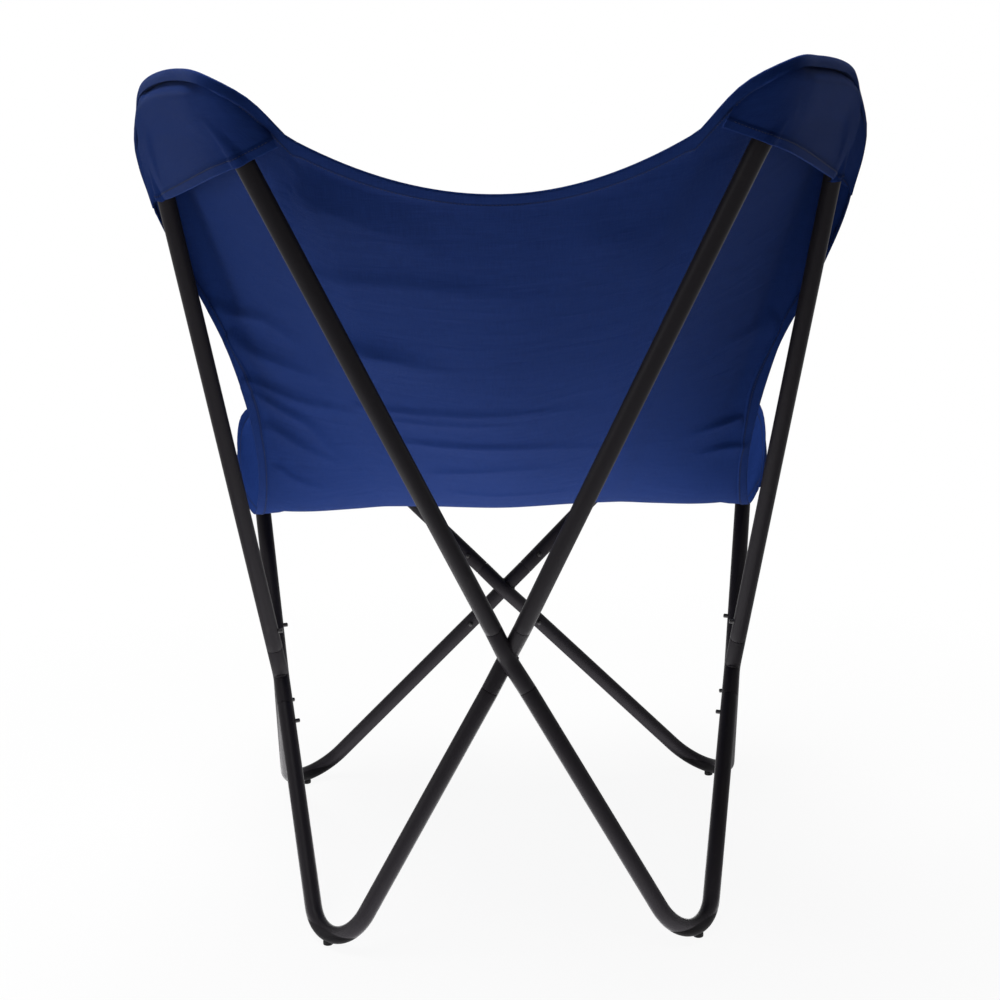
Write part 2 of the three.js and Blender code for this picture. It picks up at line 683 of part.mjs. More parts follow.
// Cross connectors: each tube runs from an upper arm to the lower arm on the far side of the crossing
const connectors = {
  rear: [[left.backBow.ends[0], right.rearLeg.ends[0]], [right.backBow.ends[0], left.rearLeg.ends[0]]],
  front: [[left.frontBow.ends[0], right.frontLeg.ends[0]], [right.frontBow.ends[0], left.frontLeg.ends[0]]],
};
for (const [name, members] of Object.entries(frame)) {
  const { backBow, frontBow, rearLeg, frontLeg } = members;
  connectors[name] = [[backBow.ends[1], frontLeg.ends[1]], [frontBow.ends[1], rearLeg.ends[1]]];
}
for (const [name, pairs] of Object.entries(connectors)) {
  const solid = connectorSolid(pairs[0][0].cross, pairs);
  chair.add(piece(`${name}_cross_connector`, geometryOf(solid), tubePaint));
}

// Snap buttons and springs, one of each in every spigot
for (const members of Object.values(frame)) {
  for (const member of Object.values(members)) {
    for (const end of member.ends) {
      const { group } = spigotFrame(end);
      group.add(piece(`${member.name}_${end.where}_button`, buttonGeometry(), buttonSteel));
      group.add(piece(`${member.name}_${end.where}_spring`, springGeometry(), springSteel));
      chair.add(group);
    }
  }
}

// Sling: the panel and its four corner pockets
const backCorner = slingCorner(left.backBow, {
  pocketInner: BACK_POCKET_INNER,
  pocketOuter: BACK_POCKET_OUTER,
  pocketEnd: BACK_POCKET_END,
  flapAlong: BACK_FLAP_ALONG,
  flapIn: BACK_FLAP_IN,
  flapOut: BACK_FLAP_OUT,
  flapDrop: BACK_FLAP_DROP,
  neckFlare: BACK_NECK_FLARE,
  shoulderFlare: BACK_SHOULDER_FLARE,
  crestFlare: BACK_CREST_FLARE,
  browFlare: BACK_BROW_FLARE,
  cornerFlare: BACK_CORNER_FLARE,
  flankFlare: BACK_FLANK_FLARE,
  rimRoll: 0.5,
  edgeSag: BACK_EDGE_SAG,
  edgeShift: -BACK_EDGE_FORWARD,
  flapShare: 0.3,
  wingShare: 0.5,
  midNormal: new THREE.Vector3(0, -1, 1).normalize(),
});
const frontCorner = slingCorner(left.frontBow, {
  pocketInner: FRONT_POCKET_INNER,
  pocketOuter: FRONT_POCKET_OUTER,
  pocketEnd: FRONT_POCKET_OUTER,
  flapAlong: FRONT_FLAP_ALONG,
  flapIn: FRONT_FLAP_IN,
  flapOut: FRONT_FLAP_OUT,
  flapDrop: 0,
  neckFlare: 0,
  shoulderFlare: FRONT_SHOULDER_FLARE,
  crestFlare: FRONT_CREST_FLARE,
  browFlare: 0,
  cornerFlare: FRONT_CORNER_FLARE,
  flankFlare: FRONT_FLANK_FLARE,
  rimRoll: 0,
  edgeSag: FRONT_EDGE_SAG,
  edgeShift: FRONT_EDGE_BACK,
  flapShare: 0.5,
  wingShare: 0.65,
  midNormal: new THREE.Vector3(0, 0, 1),
});
chair.add(piece('sling_panel', panelGeometry(backCorner, frontCorner), canvasBlue));
for (const { name, sign } of SIDES) {
  chair.add(piece(`back_${name}_pocket`, pocketGeometry(backCorner, sign), canvasBlue));
  chair.add(piece(`front_${name}_pocket`, pocketGeometry(frontCorner, sign), canvasBlue));
}

export default chair;
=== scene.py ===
import math

import bmesh
import bpy
import numpy as np
from mathutils import Matrix, Vector


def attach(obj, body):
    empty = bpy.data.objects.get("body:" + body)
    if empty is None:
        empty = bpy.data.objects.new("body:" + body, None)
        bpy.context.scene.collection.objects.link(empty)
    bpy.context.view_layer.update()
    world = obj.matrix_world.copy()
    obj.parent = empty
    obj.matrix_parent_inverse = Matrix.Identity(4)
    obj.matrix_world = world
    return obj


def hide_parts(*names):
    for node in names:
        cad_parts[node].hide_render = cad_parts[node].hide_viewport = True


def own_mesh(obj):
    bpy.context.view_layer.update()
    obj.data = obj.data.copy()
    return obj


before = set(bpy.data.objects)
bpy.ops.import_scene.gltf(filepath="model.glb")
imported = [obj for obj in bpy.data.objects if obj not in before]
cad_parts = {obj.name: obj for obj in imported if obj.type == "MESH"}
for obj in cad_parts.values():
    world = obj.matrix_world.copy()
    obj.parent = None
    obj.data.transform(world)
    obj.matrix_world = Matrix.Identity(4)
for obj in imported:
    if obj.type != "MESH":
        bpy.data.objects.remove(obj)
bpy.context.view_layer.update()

# Camera. The picture looks at the chair from behind, two metres away and at chest height, through a
# long lens with a slight roll. Lens and place were worked out from the lines of the tubes.
PICTURE_PIXELS = 1000
FOCAL_PIXELS = 1800
SENSOR_MM = 36
CAMERA_PLACE = (0.0127, 1.9692, 0.8625)
CAMERA_YAW = 0.0041
CAMERA_PITCH = -0.203
CAMERA_ROLL = -0.0195


def linked(name, data):
    """A new object in the scene."""
    made = bpy.data.objects.new(name, data)
    bpy.context.collection.objects.link(made)
    return made


ahead = np.array((
    -math.sin(CAMERA_YAW) * math.cos(CAMERA_PITCH),
    -math.cos(CAMERA_YAW) * math.cos(CAMERA_PITCH),
    math.sin(CAMERA_PITCH),
))
level = np.array((-math.cos(CAMERA_YAW), math.sin(CAMERA_YAW), 0.0))
upright = np.cross(level, ahead)
placed = np.eye(4)
placed[:3, 0] = level * math.cos(CAMERA_ROLL) + upright * math.sin(CAMERA_ROLL)
placed[:3, 1] = upright * math.cos(CAMERA_ROLL) - level * math.sin(CAMERA_ROLL)
placed[:3, 2] = -ahead
placed[:3, 3] = CAMERA_PLACE
camera_data = bpy.data.cameras.new("picture_camera")
camera_data.sensor_width = SENSOR_MM
camera_data.lens = SENSOR_MM * FOCAL_PIXELS / PICTURE_PIXELS
camera = linked("picture_camera", camera_data)
camera.matrix_world = Matrix(placed)
bpy.context.scene.camera = camera

# Bows and legs. Eight lengths of round steel tube, bent cold and powder coated black. Their ends
# slide over the connectors' spigots, and a hole near each end takes a snap button.
TUBE_RADIUS = 0.0095
TUBE_WALL = 0.0012
TUBE_LIP = 0.0005
LIP_RINGS = 4
TUBE_SIDES = 40
BEND_RINGS = 25
BOW_BEND = 0.060
FOOT_BEND = 0.052
FOOT_RINGS = 97
FOOT_PASSES = 12
ARM_LENGTH = 0.040
JOINT_GAP = 0.0003
GLIDE_DROP = 0.004
BUTTON_FROM_SHOULDER = 0.024
BUTTON_RADIUS = 0.0025
BUTTON_CLEARANCE = 0.00045
STEM_RADIUS = 0.0025
STEM_CLEARANCE = 0.00035
HOLE_SIDES = 24
HOLE_ROOM = 2.5
SHARP_DEGREES = 40
MERGE_DISTANCE = 1e-7
NEARLY_UPRIGHT = 0.9
RUBS_PER_PATCH = 7.0
RUB_LIMITS = (0.62, 0.72)
RUB_STRENGTH = 0.35
PAINT_COLOUR = (0.0130, 0.0115, 0.0138, 1)
PAINT_WORN_COLOUR = (0.020, 0.018, 0.019, 1)

CROSSINGS = {
    "rear": np.array((0.0, 0.1585, 0.321)),
    "front": np.array((0.0, -0.3375, 0.268)),
    "side": np.array((0.270, -0.1005, 0.227)),
}
BACK_CORNERS = np.array(((0.250, 0.3965, 0.900), (0.3554, 0.116, 0.895)))
FRONT_CORNERS = np.array(((0.248, -0.4025, 0.505), (0.316, -0.3015, 0.505)))
REAR_FOOT = np.array((0.203, 0.1855, 0.0))
FRONT_FOOT = np.array((0.300, -0.3765, 0.0))
SIDES = {"left": np.array((1.0, 1.0, 1.0)), "right": np.array((-1.0, 1.0, 1.0))}


def length_of(vectors):
    """Lengths of vectors."""
    return np.linalg.norm(vectors, axis=-1)


def unit(vectors):
    """Vectors divided by their lengths."""
    return vectors / length_of(vectors)[..., None]


def square_to(way, vector):
    """The part of a vector that is square to a way, divided by its length."""
    return unit(vector - way * (vector @ way))


def square_way(way):
    """Any way square to this one."""
    return unit(np.cross(way, (0.0, 0.0, 1.0) if abs(way[2]) < NEARLY_UPRIGHT else (1.0, 0.0, 0.0)))


def turned(vector, axis, angle):
    """A vector turned about an axis: its part along the axis stays, and the rest swings round."""
    kept = axis * (vector @ axis)
    swung = vector - kept
    return kept + swung * np.cos(angle) + np.cross(axis, swung) * np.sin(angle)


def bent_path(corners, radius, rings):
    """Centre line of a bent bar: straight runs joined by arcs of one radius.
    Gives points, tangents and side vectors; a side vector is turned by the bends alone."""
    corners = np.asarray(corners, float)
    runs = unit(np.diff(corners, axis=0))
    side = unit(np.cross(runs[0], runs[1]))
    points, tangents, sides = [corners[:1]], [runs[:1]], [side[None]]
    for corner, before, after in zip(corners[1:-1], runs, runs[1:]):
        axis = unit(np.cross(before, after))
        bend = math.acos(before @ after)
        angle = np.linspace(0, bend, rings)[:, None]
        inward = np.cross(axis, before)
        start = corner - before * radius * math.tan(bend / 2)
        points.append(start + radius * (np.sin(angle) * before + (1 - np.cos(angle)) * inward))
        tangents.append(turned(before, axis, angle))
        sides.append(turned(side, axis, angle))
        side = sides[-1][-1]
    points.append(corners[-1:])
    tangents.append(runs[-1:])
    sides.append(side[None])
    return [np.concatenate(rows) for rows in (points, tangents, sides)]


def with_end_rings(path, distances):
    """The path with more rings on its straight ends, at these distances from both ends."""
    points, tangents, sides = path
    steps = np.asarray(distances, float)[:, None]
    same = np.ones_like(steps)
    head = (points[0] + steps * tangents[0], same * tangents[0], same * sides[0])
    tail = (points[-1] - steps[::-1] * tangents[-1], same * tangents[-1], same * sides[-1])
    return [np.concatenate((row[:1], first, row[1:-1], last, row[-1:]))
            for row, first, last in zip(path, head, tail)]


def rounded_edge(radius, edge):
    """Distances from an end, and radii, of the rings of a rounded edge: a quarter of a circle."""
    quarter = np.linspace(0, np.pi / 2, LIP_RINGS)
    return edge * (1 - np.cos(quarter)), radius - edge * (1 - np.sin(quarter))


def swept(path, radii, sides):
    """Rings round a path: centre + radius x (cosine x side vector + sine x the way across it)."""
    points, tangents, normals = (np.asarray(rows)[:, None] for rows in path)
    angle = np.linspace(0, 2 * np.pi, sides, endpoint=False)[None, :, None]
    around = np.cos(angle) * normals + np.sin(angle) * np.cross(tangents, normals)
    return points + np.asarray(radii)[:, None, None] * around


def grid_faces(rows, columns, close_rows=False, close_columns=False):
    """Quads between neighbouring points of a grid, closed round either way where that is asked."""
    i = np.arange(rows if close_rows else rows - 1)[:, None]
    j = np.arange(columns if close_columns else columns - 1)[None, :]
    here, below = i * columns, (i + 1) % rows * columns
    beside = (j + 1) % columns
    corners = (here + j, here + beside, below + beside, below + j)
    return np.stack(np.broadcast_arrays(*corners), -1).reshape(-1, 4)


def finish_shading(mesh, sharp_degrees):
    """Smooth shading, broken where two faces meet at more than this angle."""
    mesh.shade_smooth()
    mesh.set_sharp_from_angle(angle=math.radians(sharp_degrees))


def mesh_piece(name, points, faces, sharp_degrees=SHARP_DEGREES):
    """A mesh object from points and quads. Points that coincide are merged, which closes poles, and
    faces are turned round where the skin would enclose a negative volume."""
    points = np.asarray(points).reshape(-1, 3)
    a, b, c, d = (points[faces[:, k]] for k in range(4))
    volume = np.sum(a * np.cross(b, c)) + np.sum(a * np.cross(c, d))
    faces = faces if volume > 0 else faces[:, ::-1]
    mesh = bpy.data.meshes.new(name)
    mesh.from_pydata(points.tolist(), [], faces.tolist())
    shell = bmesh.new()
    shell.from_mesh(mesh)
    bmesh.ops.remove_doubles(shell, verts=shell.verts, dist=MERGE_DISTANCE)
    shell.to_mesh(mesh)
    shell.free()
    finish_shading(mesh, sharp_degrees)
    return linked(name, mesh)


def ring_piece(name, rings, sharp_degrees=SHARP_DEGREES, close_rows=False):
    """A mesh object from rows of points, where each row is a closed ring."""
    return mesh_piece(name, rings, grid_faces(*rings.shape[:2], close_rows, True), sharp_degrees)


def rod(name, path, radii, sides):
    """A solid bar: rings round a path, closed at both ends by a ring of no radius."""
    ends = [np.concatenate((rows[:1], rows, rows[-1:])) for rows in path]
    return ring_piece(name, swept(ends, np.concatenate(((0,), radii, (0,))), sides))


def carved(piece, *operations):
    """Joins and cuts a piece with other closed bodies, which are used up."""
    for operation, tool in operations:
        modifier = piece.modifiers.new("carve", "BOOLEAN")
        modifier.operation = operation
        modifier.solver = "MANIFOLD"
        modifier.object = tool
    depsgraph = bpy.context.evaluated_depsgraph_get()
    mesh = bpy.data.meshes.new_from_object(piece.evaluated_get(depsgraph))
    piece.modifiers.clear()
    piece.data = mesh
    mesh.name = piece.name
    finish_shading(mesh, SHARP_DEGREES)
    for _, tool in operations:
        bpy.data.objects.remove(tool)
    return piece


def set_inputs(node, inputs):
    """Sets a node's inputs to values, or joins them to other sockets."""
    for name, value in inputs.items():
        if isinstance(value, bpy.types.NodeSocket):
            node.id_data.links.new(value, node.inputs[name])
        else:
            node.inputs[name].default_value = value


def shader_node(tree, kind, inputs, output=0, **settings):
    """One output of a new node with these settings and inputs."""
    node = tree.nodes.new(kind)
    for name, value in settings.items():
        setattr(node, name, value)
    set_inputs(node, inputs)
    return node.outputs[output]


def sum_of(tree, operation, first, second=0.0):
    """One step of arithmetic in a node tree; gives the socket with the answer."""
    return shader_node(tree, "ShaderNodeMath", {0: first, 1: second}, operation=operation)


def between(tree, value, low, high, start=0.0, finish=1.0, **settings):
    """A value that runs from low to high as another one runs from start to finish."""
    inputs = {"Value": value, "From Min": start, "From Max": finish, "To Min": low, "To Max": high}
    return shader_node(tree, "ShaderNodeMapRange", inputs, **settings)


def blended(tree, share, first, second):
    """Two colours, or sockets with colours, mixed by a share."""
    return shader_node(tree, "ShaderNodeMix", {0: share, 6: first, 7: second}, 2, data_type="RGBA")


def object_place(tree):
    """The place on the object itself, in metres."""
    return shader_node(tree, "ShaderNodeTexCoord", {}, "Object")


def noise(tree, place, scale, **more):
    """The value of a noise texture at a place."""
    return shader_node(tree, "ShaderNodeTexNoise", {"Vector": place, "Scale": scale, **more}, "Fac")


def bumped(tree, height, distance, **more):
    """The normal of a surface that is raised by a height times a distance."""
    return shader_node(tree, "ShaderNodeBump", {"Height": height, "Distance": distance, **more})


def node_group(name, inputs, outputs):
    """A new shader group: its tree, the sockets it is given, and the node for its results."""
    tree = bpy.data.node_groups.new(name, "ShaderNodeTree")
    for socket, kind in inputs.items():
        tree.interface.new_socket(socket, in_out="INPUT", socket_type="NodeSocket" + kind)
    for socket in outputs:
        tree.interface.new_socket(socket, in_out="OUTPUT", socket_type="NodeSocketFloat")
    given = tree.nodes.new("NodeGroupInput").outputs
    return tree, given, tree.nodes.new("NodeGroupOutput")


def new_material(name, **sockets):
    """A material with one Principled shader, with values that are the same all over set on it."""
    material = bpy.data.materials.new(name)
    material.use_nodes = True
    shader = material.node_tree.nodes["Principled BSDF"]
    set_inputs(shader, {socket.replace("_", " "): value for socket, value in sockets.items()})
    return material, material.node_tree, shader


def grain_group():
    """Grain of a sprayed or moulded surface: fine orange peel as a height, and slow patches and
    rare rubs as masks."""
    tree, given, results = node_group(
        "surface_grain", {"Grain Scale": "Float", "Patch Scale": "Float"},
        ("Height", "Patches", "Rubs"))
    place = object_place(tree)
    rub_scale = sum_of(tree, "MULTIPLY", given["Patch Scale"], RUBS_PER_PATCH)
    set_inputs(results, {
        "Height": noise(tree, place, given["Grain Scale"], Detail=2.0, Roughness=0.4),
        "Patches": noise(tree, place, given["Patch Scale"], Detail=4.0),
        "Rubs": between(tree, noise(tree, place, rub_scale, Detail=6.0), 0.0, 1.0, *RUB_LIMITS),
    })
    return tree


def grained_material(name, colour, worn, grain, patch, rough, bump, **sockets):
    """A finish with orange peel: its gloss drifts in patches, and small rubs show a worn colour."""
    material, tree, shader = new_material(name, **sockets)
    group = shader_node(tree, "ShaderNodeGroup", {"Grain Scale": grain, "Patch Scale": patch},
                        node_tree=surface_grain).node.outputs
    share = sum_of(tree, "MULTIPLY", group["Rubs"], RUB_STRENGTH)
    set_inputs(shader, {
        "Base Color": blended(tree, share, colour, worn),
        "Roughness": between(tree, group["Patches"], *rough),
        "Normal": bumped(tree, group["Height"], bump),
    })
    return material


def dressed(piece, material, slot, body, *nodes):
    """Gives a finished piece its material and body, and hides the solids it stands for; slot is not
    used.
    """
    piece.data.materials.clear()
    piece.data.materials.append(material)
    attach(piece, body)
    if nodes:
        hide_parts(*nodes)
    return piece


def foot_corner(foot, start, finish):
    """The sharp corner of a V leg, set so that its bend stands one glide above the floor."""
    corner = foot.copy()
    for _ in range(FOOT_PASSES):
        path = bent_path((start, corner, finish), FOOT_BEND, FOOT_RINGS)[0]
        corner[2] += TUBE_RADIUS + GLIDE_DROP - path[:, 2].min()
    return corner


def member(name, crossings, where, corners, bend):
    """One bow or leg, from the rear or front crossing to a side one: its corners, its path, and for
    each end the crossing and the way the tube leaves it."""
    ends = [{"cross": crossings[at], "where": at, "way": unit(corner - crossings[at])}
            for at, corner in ((where, corners[0]), ("side", corners[-1]))]
    inset = ARM_LENGTH + JOINT_GAP
    first, last = (end["cross"] + inset * end["way"] for end in ends)
    path = bent_path((first, *corners, last), bend, BEND_RINGS)
    return {"name": name, "ends": ends, "corners": corners, "path": path}


def button_line(end):
    """Where a snap button sits: a place on the tube's axis, and the way inwards it points."""
    inward = np.array((0.0, CROSSINGS["side"][1], end["cross"][2])) - end["cross"]
    place = end["cross"] + (ARM_LENGTH + BUTTON_FROM_SHOULDER) * end["way"]
    return place, square_to(end["way"], inward)


def cutter(start, finish, radius):
    """A round bar that cuts a hole from one place to another."""
    run = unit(finish - start)
    path = [np.stack(pair) for pair in ((start, finish), (run, run), (square_way(run),) * 2)]
    return "DIFFERENCE", rod("cutter", path, (radius, radius), HOLE_SIDES)


def button_cut(end):
    """The hole through one wall on a button's line."""
    place, inward = button_line(end)
    return cutter(place, place + 2 * TUBE_RADIUS * inward, BUTTON_RADIUS + BUTTON_CLEARANCE)


def hollow_tube(name, path):
    """An open tube as one closed skin: the outside with rounded lips, and back along the bore."""
    steps, lip = rounded_edge(TUBE_RADIUS, TUBE_LIP)
    hole = BUTTON_FROM_SHOULDER - JOINT_GAP
    beside_hole = hole + np.array((-HOLE_ROOM, HOLE_ROOM)) * 2 * BUTTON_RADIUS
    outside = with_end_rings(path, np.concatenate((steps[1:], beside_hole)))
    middle = np.full(len(outside[0]) - 2 * len(lip), TUBE_RADIUS)
    bore = np.full(len(outside[0]), TUBE_RADIUS - TUBE_WALL)
    loop = [np.concatenate((rows, rows[::-1])) for rows in outside]
    rings = swept(loop, np.concatenate((lip, middle, lip[::-1], bore)), TUBE_SIDES)
    return ring_piece(name, rings, close_rows=True)


surface_grain = grain_group()
tube_paint = grained_material(
    "black_powder_coat", PAINT_COLOUR, PAINT_WORN_COLOUR, grain=1400.0, patch=14.0,
    rough=(0.34, 0.50), bump=0.00006, Specular_IOR_Level=0.05,
)
members = {}
for side_name, mirror in SIDES.items():
    here = {where: place * mirror for where, place in CROSSINGS.items()}
    rear_foot = foot_corner(REAR_FOOT * mirror, here["rear"], here["side"])
    front_foot = foot_corner(FRONT_FOOT * mirror, here["front"], here["side"])
    for name, where, corners, bend in (
        (f"back_{side_name}_bow", "rear", BACK_CORNERS * mirror, BOW_BEND),
        (f"front_{side_name}_bow", "front", FRONT_CORNERS * mirror, BOW_BEND),
        (f"rear_{side_name}_leg", "rear", rear_foot[None], FOOT_BEND),
        (f"front_{side_name}_leg", "front", front_foot[None], FOOT_BEND),
    ):
        members[name] = member(name, here, where, corners, bend)

for name, made in members.items():
    tube = hollow_tube(name + "_tube", made["path"])
    cuts = [button_cut(end) for end in made["ends"]]
    if name.endswith("leg"):
        first, last = made["path"][0][[0, -1]]
        points = bent_path((first, *made["corners"], last), FOOT_BEND, FOOT_RINGS)[0]
        made["lowest"] = points[points[:, 2].argmin()]
        on_floor = made["lowest"] * (1.0, 1.0, 0.0)
        cuts.append(cutter(on_floor, made["lowest"], STEM_RADIUS + STEM_CLEARANCE))
    dressed(carved(tube, *cuts), tube_paint, "tube_paint", "chair", name)

# Cross connectors. Two short tubes, bent slightly and welded in an X, with the ends swaged down to
# spigots that plug into the bows and legs. At the rear and the front one passes outside the other.
SPIGOT_CLEARANCE = 0.0004
SPIGOT_WALL = 0.0012
SPIGOT_RADIUS = TUBE_RADIUS - TUBE_WALL - SPIGOT_CLEARANCE
SPIGOT_BORE = SPIGOT_RADIUS - SPIGOT_WALL
SPIGOT_LENGTH = 0.056
SPIGOT_CHAMFER = 0.0008
BORE_OVERRUN = 0.002
ARM_BEND = 0.045
ARM_RINGS = 13
ARM_ASIDE = 0.004
WELD_RADIUS = 0.0020
WELD_TURN = np.radians((52, 128))
WELD_RINGS = 81
WELD_SIDES = 14
WELD_RIPPLE = 0.06
WELD_RIPPLES = 11
WELD_TAPER = 0.12
WELD_BLUNT = 0.4
# Each row: the crossing, its bows, and the sides whose bow passes outside and inside.
PASSING_BOWS = (("rear", "back", "left", "right"), ("front", "front", "right", "left"))


def passing(path, cross, aside):
    """A path moved aside at the crossing; the move falls off with the square of the distance."""
    away = length_of(path[0] - cross)[:, None] / ARM_LENGTH
    return [path[0] + aside * np.maximum(0, 1 - away ** 2), *path[1:]]


def arm_pair(name, cross, ways, aside):
    """Outside, bore and middle of one bent tube of a connector: full size in the middle, and
    stepped down to a spigot at both ends."""
    tips = [cross + (ARM_LENGTH + SPIGOT_LENGTH) * way for way in ways]
    path = bent_path((tips[0], cross, tips[1]), ARM_BEND, ARM_RINGS)
    lip_steps, lip = rounded_edge(TUBE_RADIUS, TUBE_LIP)
    steps = np.concatenate(((SPIGOT_CHAMFER, SPIGOT_LENGTH), SPIGOT_LENGTH + lip_steps))
    end = np.concatenate(((SPIGOT_RADIUS - SPIGOT_CHAMFER, SPIGOT_RADIUS, SPIGOT_RADIUS), lip))
    outside = passing(with_end_rings(path, steps), cross, aside)
    middle = np.full(len(outside[0]) - 2 * len(end), TUBE_RADIUS)
    body = rod(name, outside, np.concatenate((end, middle, end[::-1])), TUBE_SIDES)
    first, last = (tip + BORE_OVERRUN * unit(tip - cross) for tip in tips)
    inside = bent_path((first, cross, last), ARM_BEND, ARM_RINGS)
    inside = passing(with_end_rings(inside, (SPIGOT_LENGTH + BORE_OVERRUN,)), cross, aside)
    bore = rod("bore", inside, np.full(len(inside[0]), SPIGOT_BORE), TUBE_SIDES)
    return body, bore, path[0][len(path[0]) // 2]


def weld_bead(centre, first, second, aside):
    """A weld in the crotch of two arms: a rippled bar along part of the ellipse where they meet."""
    reach = math.sqrt(TUBE_RADIUS ** 2 - aside ** 2)
    between_arms = unit(first + second)
    square = unit(np.cross(first, second))
    half = math.acos(first @ second) / 2
    turn = np.linspace(*WELD_TURN, WELD_RINGS)[:, None]
    line = centre + reach * (np.cos(turn) * square + np.sin(turn) / math.sin(half) * between_arms)
    tangents = unit(np.gradient(line, axis=0))
    sides = unit(np.cross(tangents, np.cross(square, between_arms)[None]))
    ripple = 1 + WELD_RIPPLE * np.sin(2 * WELD_RIPPLES * turn[:, 0])
    swell = np.sin(np.linspace(WELD_TAPER, np.pi - WELD_TAPER, len(line))) ** WELD_BLUNT
    return rod("bead", [line, tangents, sides], WELD_RADIUS * ripple * swell, WELD_SIDES)


def connector(name, tubes, aside):
    """Two arm pairs joined in an X, the first moved aside to the outer side of the second, with a
    weld in each of the four crotches, then bored and drilled."""
    cross = tubes[0][0]["cross"]
    outward = unit(np.cross(*(pair[0]["way"] - pair[1]["way"] for pair in tubes)))
    outward = outward * np.sign(outward[:2] @ cross[:2])
    (body, bore, first_middle), (other, other_bore, second_middle) = (
        arm_pair(name + "_weldment", cross, [end["way"] for end in pair], side * aside * outward)
        for pair, side in zip(tubes, (1, -1))
    )
    centre = (first_middle + second_middle) / 2
    (a, b), (c, d) = tubes
    crotches = ((a, c), (c, b), (b, d), (d, a))
    beads = [weld_bead(centre, p["way"], q["way"], aside) for p, q in crotches]
    joins = [("UNION", tool) for tool in (other, *beads)]
    cuts = [("DIFFERENCE", tool) for tool in (bore, other_bore)]
    holes = [button_cut(end) for pair in tubes for end in pair]
    piece = carved(body, *joins, *cuts, *holes)
    return dressed(piece, tube_paint, "tube_paint", "chair", name + "_cross_connector")


def end_at(name, where):
    """The end of a bow or leg that lies at a crossing."""
    return members[name]["ends"][0 if where != "side" else 1]


for where, bow, outer, inner in PASSING_BOWS:
    connector(where, [
        [end_at(f"{bow}_{outer}_bow", where), end_at(f"{where}_{inner}_leg", where)],
        [end_at(f"{bow}_{inner}_bow", where), end_at(f"{where}_{outer}_leg", where)],
    ], ARM_ASIDE)
for side_name in SIDES:
    connector(side_name, [
        [end_at(f"back_{side_name}_bow", "side"), end_at(f"front_{side_name}_leg", "side")],
        [end_at(f"front_{side_name}_bow", "side"), end_at(f"rear_{side_name}_leg", "side")],
    ], 0.0)

# Snap buttons. Drawn steel cups with a domed end, blackened. A flange keeps each one inside its
# spigot, and it slides in under the thumb until the dome is below the tube's skin.
BUTTON_STAND = 0.0052
BUTTON_DOME = 0.0011
BUTTON_WALL = 0.0007
BUTTON_FILLET = 0.0003
FLANGE_RADIUS = 0.0035
FLANGE_THICKNESS = 0.0008
FLANGE_TOP = math.sqrt((SPIGOT_BORE - JOINT_GAP) ** 2 - FLANGE_RADIUS ** 2)
DOME_RINGS = 9
BUTTON_SIDES = 28
BUTTON_SHARP = 50
BUTTON_COLOUR = (0.022, 0.021, 0.022, 1)
BUTTON_WORN_COLOUR = (0.25, 0.24, 0.23, 1)


def lathed(profile, place, axis, sides):
    """A profile of (radius, height) turned about an axis through a place, as rings."""
    line = place + profile[:, 1:] * axis
    same = np.ones((len(profile), 1))
    return swept([line, same * axis, same * square_way(axis)], profile[:, 0], sides)


def button_profile():
    """Dome, wall, flange and hollow of the cup, from the top of the dome to the hollow's roof."""
    top = TUBE_RADIUS + BUTTON_STAND
    arc = np.linspace(0, np.pi / 2, DOME_RINGS)
    dome = np.stack((BUTTON_RADIUS * np.sin(arc), top - BUTTON_DOME * (1 - np.cos(arc))), -1)
    inner = BUTTON_RADIUS - BUTTON_WALL
    hollow = np.stack((inner * np.sin(arc), dome[:, 1] - BUTTON_WALL), -1)[::-1]
    flange_low = FLANGE_TOP - FLANGE_THICKNESS
    flange = [
        (BUTTON_RADIUS, FLANGE_TOP + BUTTON_FILLET), (BUTTON_RADIUS + BUTTON_FILLET, FLANGE_TOP),
        (FLANGE_RADIUS, FLANGE_TOP), (FLANGE_RADIUS, flange_low), (inner, flange_low),
    ]
    return np.concatenate((dome, flange, hollow))


button_steel = grained_material(
    "blackened_steel", BUTTON_COLOUR, BUTTON_WORN_COLOUR, grain=2600.0, patch=260.0,
    rough=(0.28, 0.46), bump=0.00002, Metallic=0.85,
)
snaps = [(f"{name}_{end['where']}", end) for name, made in members.items() for end in made["ends"]]
for name, end in snaps:
    rings = lathed(button_profile(), *button_line(end), BUTTON_SIDES)
    dome = ring_piece(name + "_dome", rings, BUTTON_SHARP)
    dressed(dome, button_steel, "button_steel", name + "_snap", name + "_button")

# Springs. Strips of bright spring steel folded to a V inside each spigot, one arm under the button
# and the other along the bore. The V closes as its button is pressed.
SPRING_WIDTH = 0.005
SPRING_THICKNESS = 0.0005
SPRING_LENGTH = 0.024
SPRING_TAIL = 0.005
SPRING_BEND = 0.0009
SPRING_BEND_RINGS = 6
SPRING_FOLDS = 5
SPRING_SHARP = 30
BORE_FACET = math.cos(math.pi / 8)
SPRING_COLOUR = (0.42, 0.43, 0.45, 1)
SPRING_WORN_COLOUR = (0.20, 0.17, 0.14, 1)
spring_steel = grained_material(
    "spring_steel", SPRING_COLOUR, SPRING_WORN_COLOUR, grain=1800.0, patch=120.0,
    rough=(0.22, 0.4), bump=0.00002, Metallic=1.0,
)


